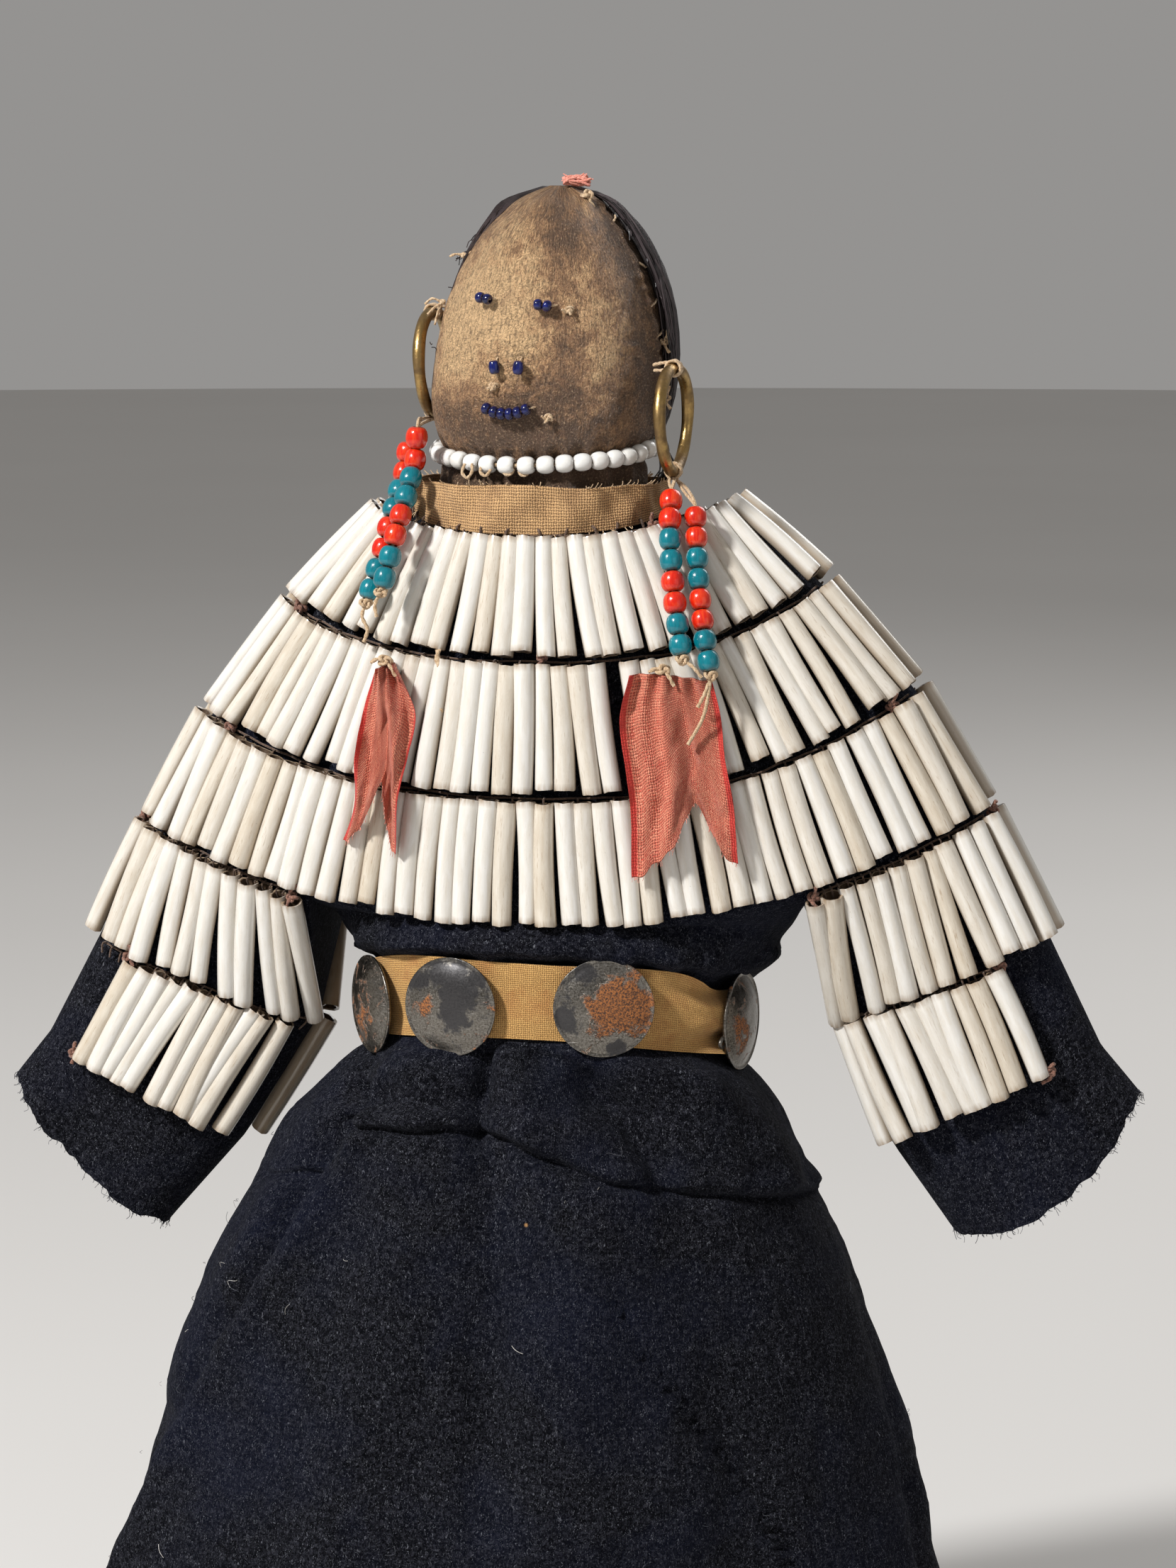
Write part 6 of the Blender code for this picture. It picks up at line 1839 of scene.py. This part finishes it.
def make_row_yarn():
    """Faded yarn knots where the rows of shells are tied off, and a twisted end that hangs on row 2."""
    skin = Skin()
    spots = [
        (1, chest, -0.93, 0.0, 1.5), (1, chest, 0.30, 0.95, 1.9), (2, chest, -0.90, 0.0, 1.4),
        (2, chest, 0.94, 0.0, 1.3), (0, chest, 0.04, 0.97, 1.0), (0, chest, 0.62, 0.0, 1.3),
    ]
    for side in (1, -1):
        upper, lower = CUFF_REACH[side][0], min(CUFF_REACH[side][1], SHORT_ROW[1])
        locate = sleeve_of(side)
        spots += [(3, locate, upper + 0.02, 0.0, 1.5), (4, locate, lower + 0.03, 0.0, 1.4),
                  (4, locate, lower + 0.04, 0.95, 1.3), (3, locate, CUFF_START[side], 0.0, 1.2)]
    for number, (line, locate, place, down, size) in enumerate(spots):
        here, outward = on_row(line, locate, place, down)
        spot = here + outward * 2.6
        draw = chance.random(6) - 0.5
        add_knot(skin, spot, size, outward, 0.42, 0.7 * number, [
            ((1.2 * draw[0], -0.6, 1.0), (3.0 * draw[1], -0.9, 2.4 + draw[2])),
            ((1.6 * draw[3], -0.7, -1.0), (3.2 * draw[4], -1.0, -2.4 - draw[5])),
        ])
    skin.build("row_yarn", YARN)
    hanging = Skin()
    top, outward = on_row(1, chest, -0.335, 0.0)
    spot = top + outward * (SEAT + 3.9)
    stops = spot + np.array([
        (0.0, 1.4, 1.2), (0.1, 0.0, -0.6), (0.5, 0.4, -4.0), (0.1, -0.4, -8.0), (0.4, -0.6, -11.0),
    ])
    hanging.sew(stops, 60, 0.55, 10, plies=2, pitch=2.6, depth=0.28)
    add_knot(hanging, spot + [0.4, -0.6, -11.4], 0.75, (0.0, -1.0, 0.0), 0.42, 1.2,
             [((0.1, -0.2, -0.8), (0.4, -0.2, -1.8))])
    hanging.build("row_string_end", STRING)


def make_cuff_fray():
    """Wool fibres and thread ends along the lip of both cuffs."""
    skin = Skin()
    for side in (1, -1):
        lip = sleeve_grid(side)[SLEEVE_ROWS - 1]
        for _ in range(230):
            draw = chance.random(7)
            base = lip[int(draw[0] * SLEEVE_COLUMNS) % SLEEVE_COLUMNS]
            away = np.array([side * 0.35, 0.25 * np.sign(base[1]) * draw[1], -0.9])
            length = 0.4 + 2.0 * draw[2] ** 3
            tip = base + unit(away + (draw[3:6] - 0.5) * 1.3) * length
            bend = (base + tip) / 2 + (chance.random(3) - 0.5) * 0.5 * length
            skin.sew([base, bend, tip], 7, 0.045 + 0.035 * draw[6], 3, tone=draw[6])
    skin.build("cuff_fray", FIBRE, "wool_cloth")


def make_lint():
    """Pale and dark curled fibres caught on the wool of the skirt."""
    pale, dark = Skin(), Skin()
    turn = circle(300, -pi)
    for _ in range(150):
        draw = chance.random(8)
        angle = turn[int(draw[0] * len(turn)) % len(turn)]
        height = 8.0 + 150.0 * draw[1]
        near = skirt_ring(np.array([angle, angle + 0.02, angle]), height)
        base, beside = near[0], near[1]
        along = unit(beside - base)
        down = np.array([0.0, 0.0, -1.0])
        outward = unit(np.cross(along, down))
        if outward @ (base - [-8.0, 0.0, height]) <= 0:
            outward = -outward
        size = 0.8 + 3.0 * draw[2] ** 2
        curl = 5.0 * draw[3]
        step = np.linspace(0.0, 1.0, 12)[:, None]
        lean = 6 * draw[4]
        path = (
            base + outward * (0.75 + 0.5 * np.sin(pi * step))
            + size * (step - 0.5) * (np.cos(lean) * along + np.sin(lean) * down)
            + 0.35 * size * np.sin(curl * step) * (np.sin(lean) * along - np.cos(lean) * down)
        )
        skin = pale if draw[5] < 0.3 else dark
        skin.add(tube(path, 0.035 + 0.035 * draw[6], 3), tone=draw[7])
    pale.build("skirt_lint", PALE)
    dark.build("skirt_fibres", FIBRE, "wool_cloth")


# Stage

def make_stage():
    """A pale floor, soft studio lights and the camera."""
    floor = bpy.data.meshes.new("floor")
    turn = circle(96)
    rim = np.stack([FLOOR_RADIUS * np.cos(turn), FLOOR_RADIUS * np.sin(turn), np.zeros(96)], -1)
    floor.from_pydata(rim.tolist(), [], [list(range(96))])
    made, net, shader = material("pale floor", Roughness=0.8)
    cloud = net.noise(net.place(), 1.5, 3.0)
    wear(net, shader, net.mix(cloud, (0.60, 0.585, 0.565), (0.66, 0.645, 0.625)))
    floor.materials.append(made)
    ground = bpy.data.objects.new("floor", floor)
    bpy.context.scene.collection.objects.link(ground)
    world = bpy.data.worlds.new("studio")
    bpy.context.scene.world = world
    world.use_nodes = True
    world.node_tree.nodes["Background"].inputs[0].default_value = (0.62, 0.605, 0.59, 1.0)
    world.node_tree.nodes["Background"].inputs[1].default_value = STUDIO_GLOW
    for name, place, size, power in LAMPS:
        lamp = bpy.data.lights.new(name, "AREA")
        lamp.size = size
        lamp.energy = power
        item = bpy.data.objects.new(name, lamp)
        bpy.context.scene.collection.objects.link(item)
        item.location = place
        item.rotation_euler = (Vector(LAMP_AIM) - Vector(place)).to_track_quat("-Z", "Y").to_euler()
    lens = bpy.data.cameras.new("camera")
    lens.sensor_width = SENSOR
    lens.lens = SENSOR * FOCAL_PIXELS / FRAME_PIXELS
    eye = bpy.data.objects.new("camera", lens)
    bpy.context.scene.collection.objects.link(eye)
    back = Vector((sin(VIEW_TURN) * cos(VIEW_RISE), -cos(VIEW_TURN) * cos(VIEW_RISE), sin(VIEW_RISE)))
    eye.location = Vector(VIEW_TARGET) + back * VIEW_DISTANCE
    eye.rotation_euler = (-back).to_track_quat("-Z", "Y").to_euler()
    bpy.context.scene.camera = eye
    bpy.context.scene.view_settings.view_transform = "Standard"


make_stage()
make_dress()
make_shells()
make_row_threads()
make_belt()
make_conchos()
make_wire_loop()
make_head()
make_hair()
make_head_ties()
make_face_beads()
make_necklace()
make_hoops()
make_drops()
make_collar()
make_ribbon("ribbon_left", 1)
make_ribbon("ribbon_right", -1)
make_ribbon_knots()
make_row_yarn()
make_cuff_fray()
make_lint()
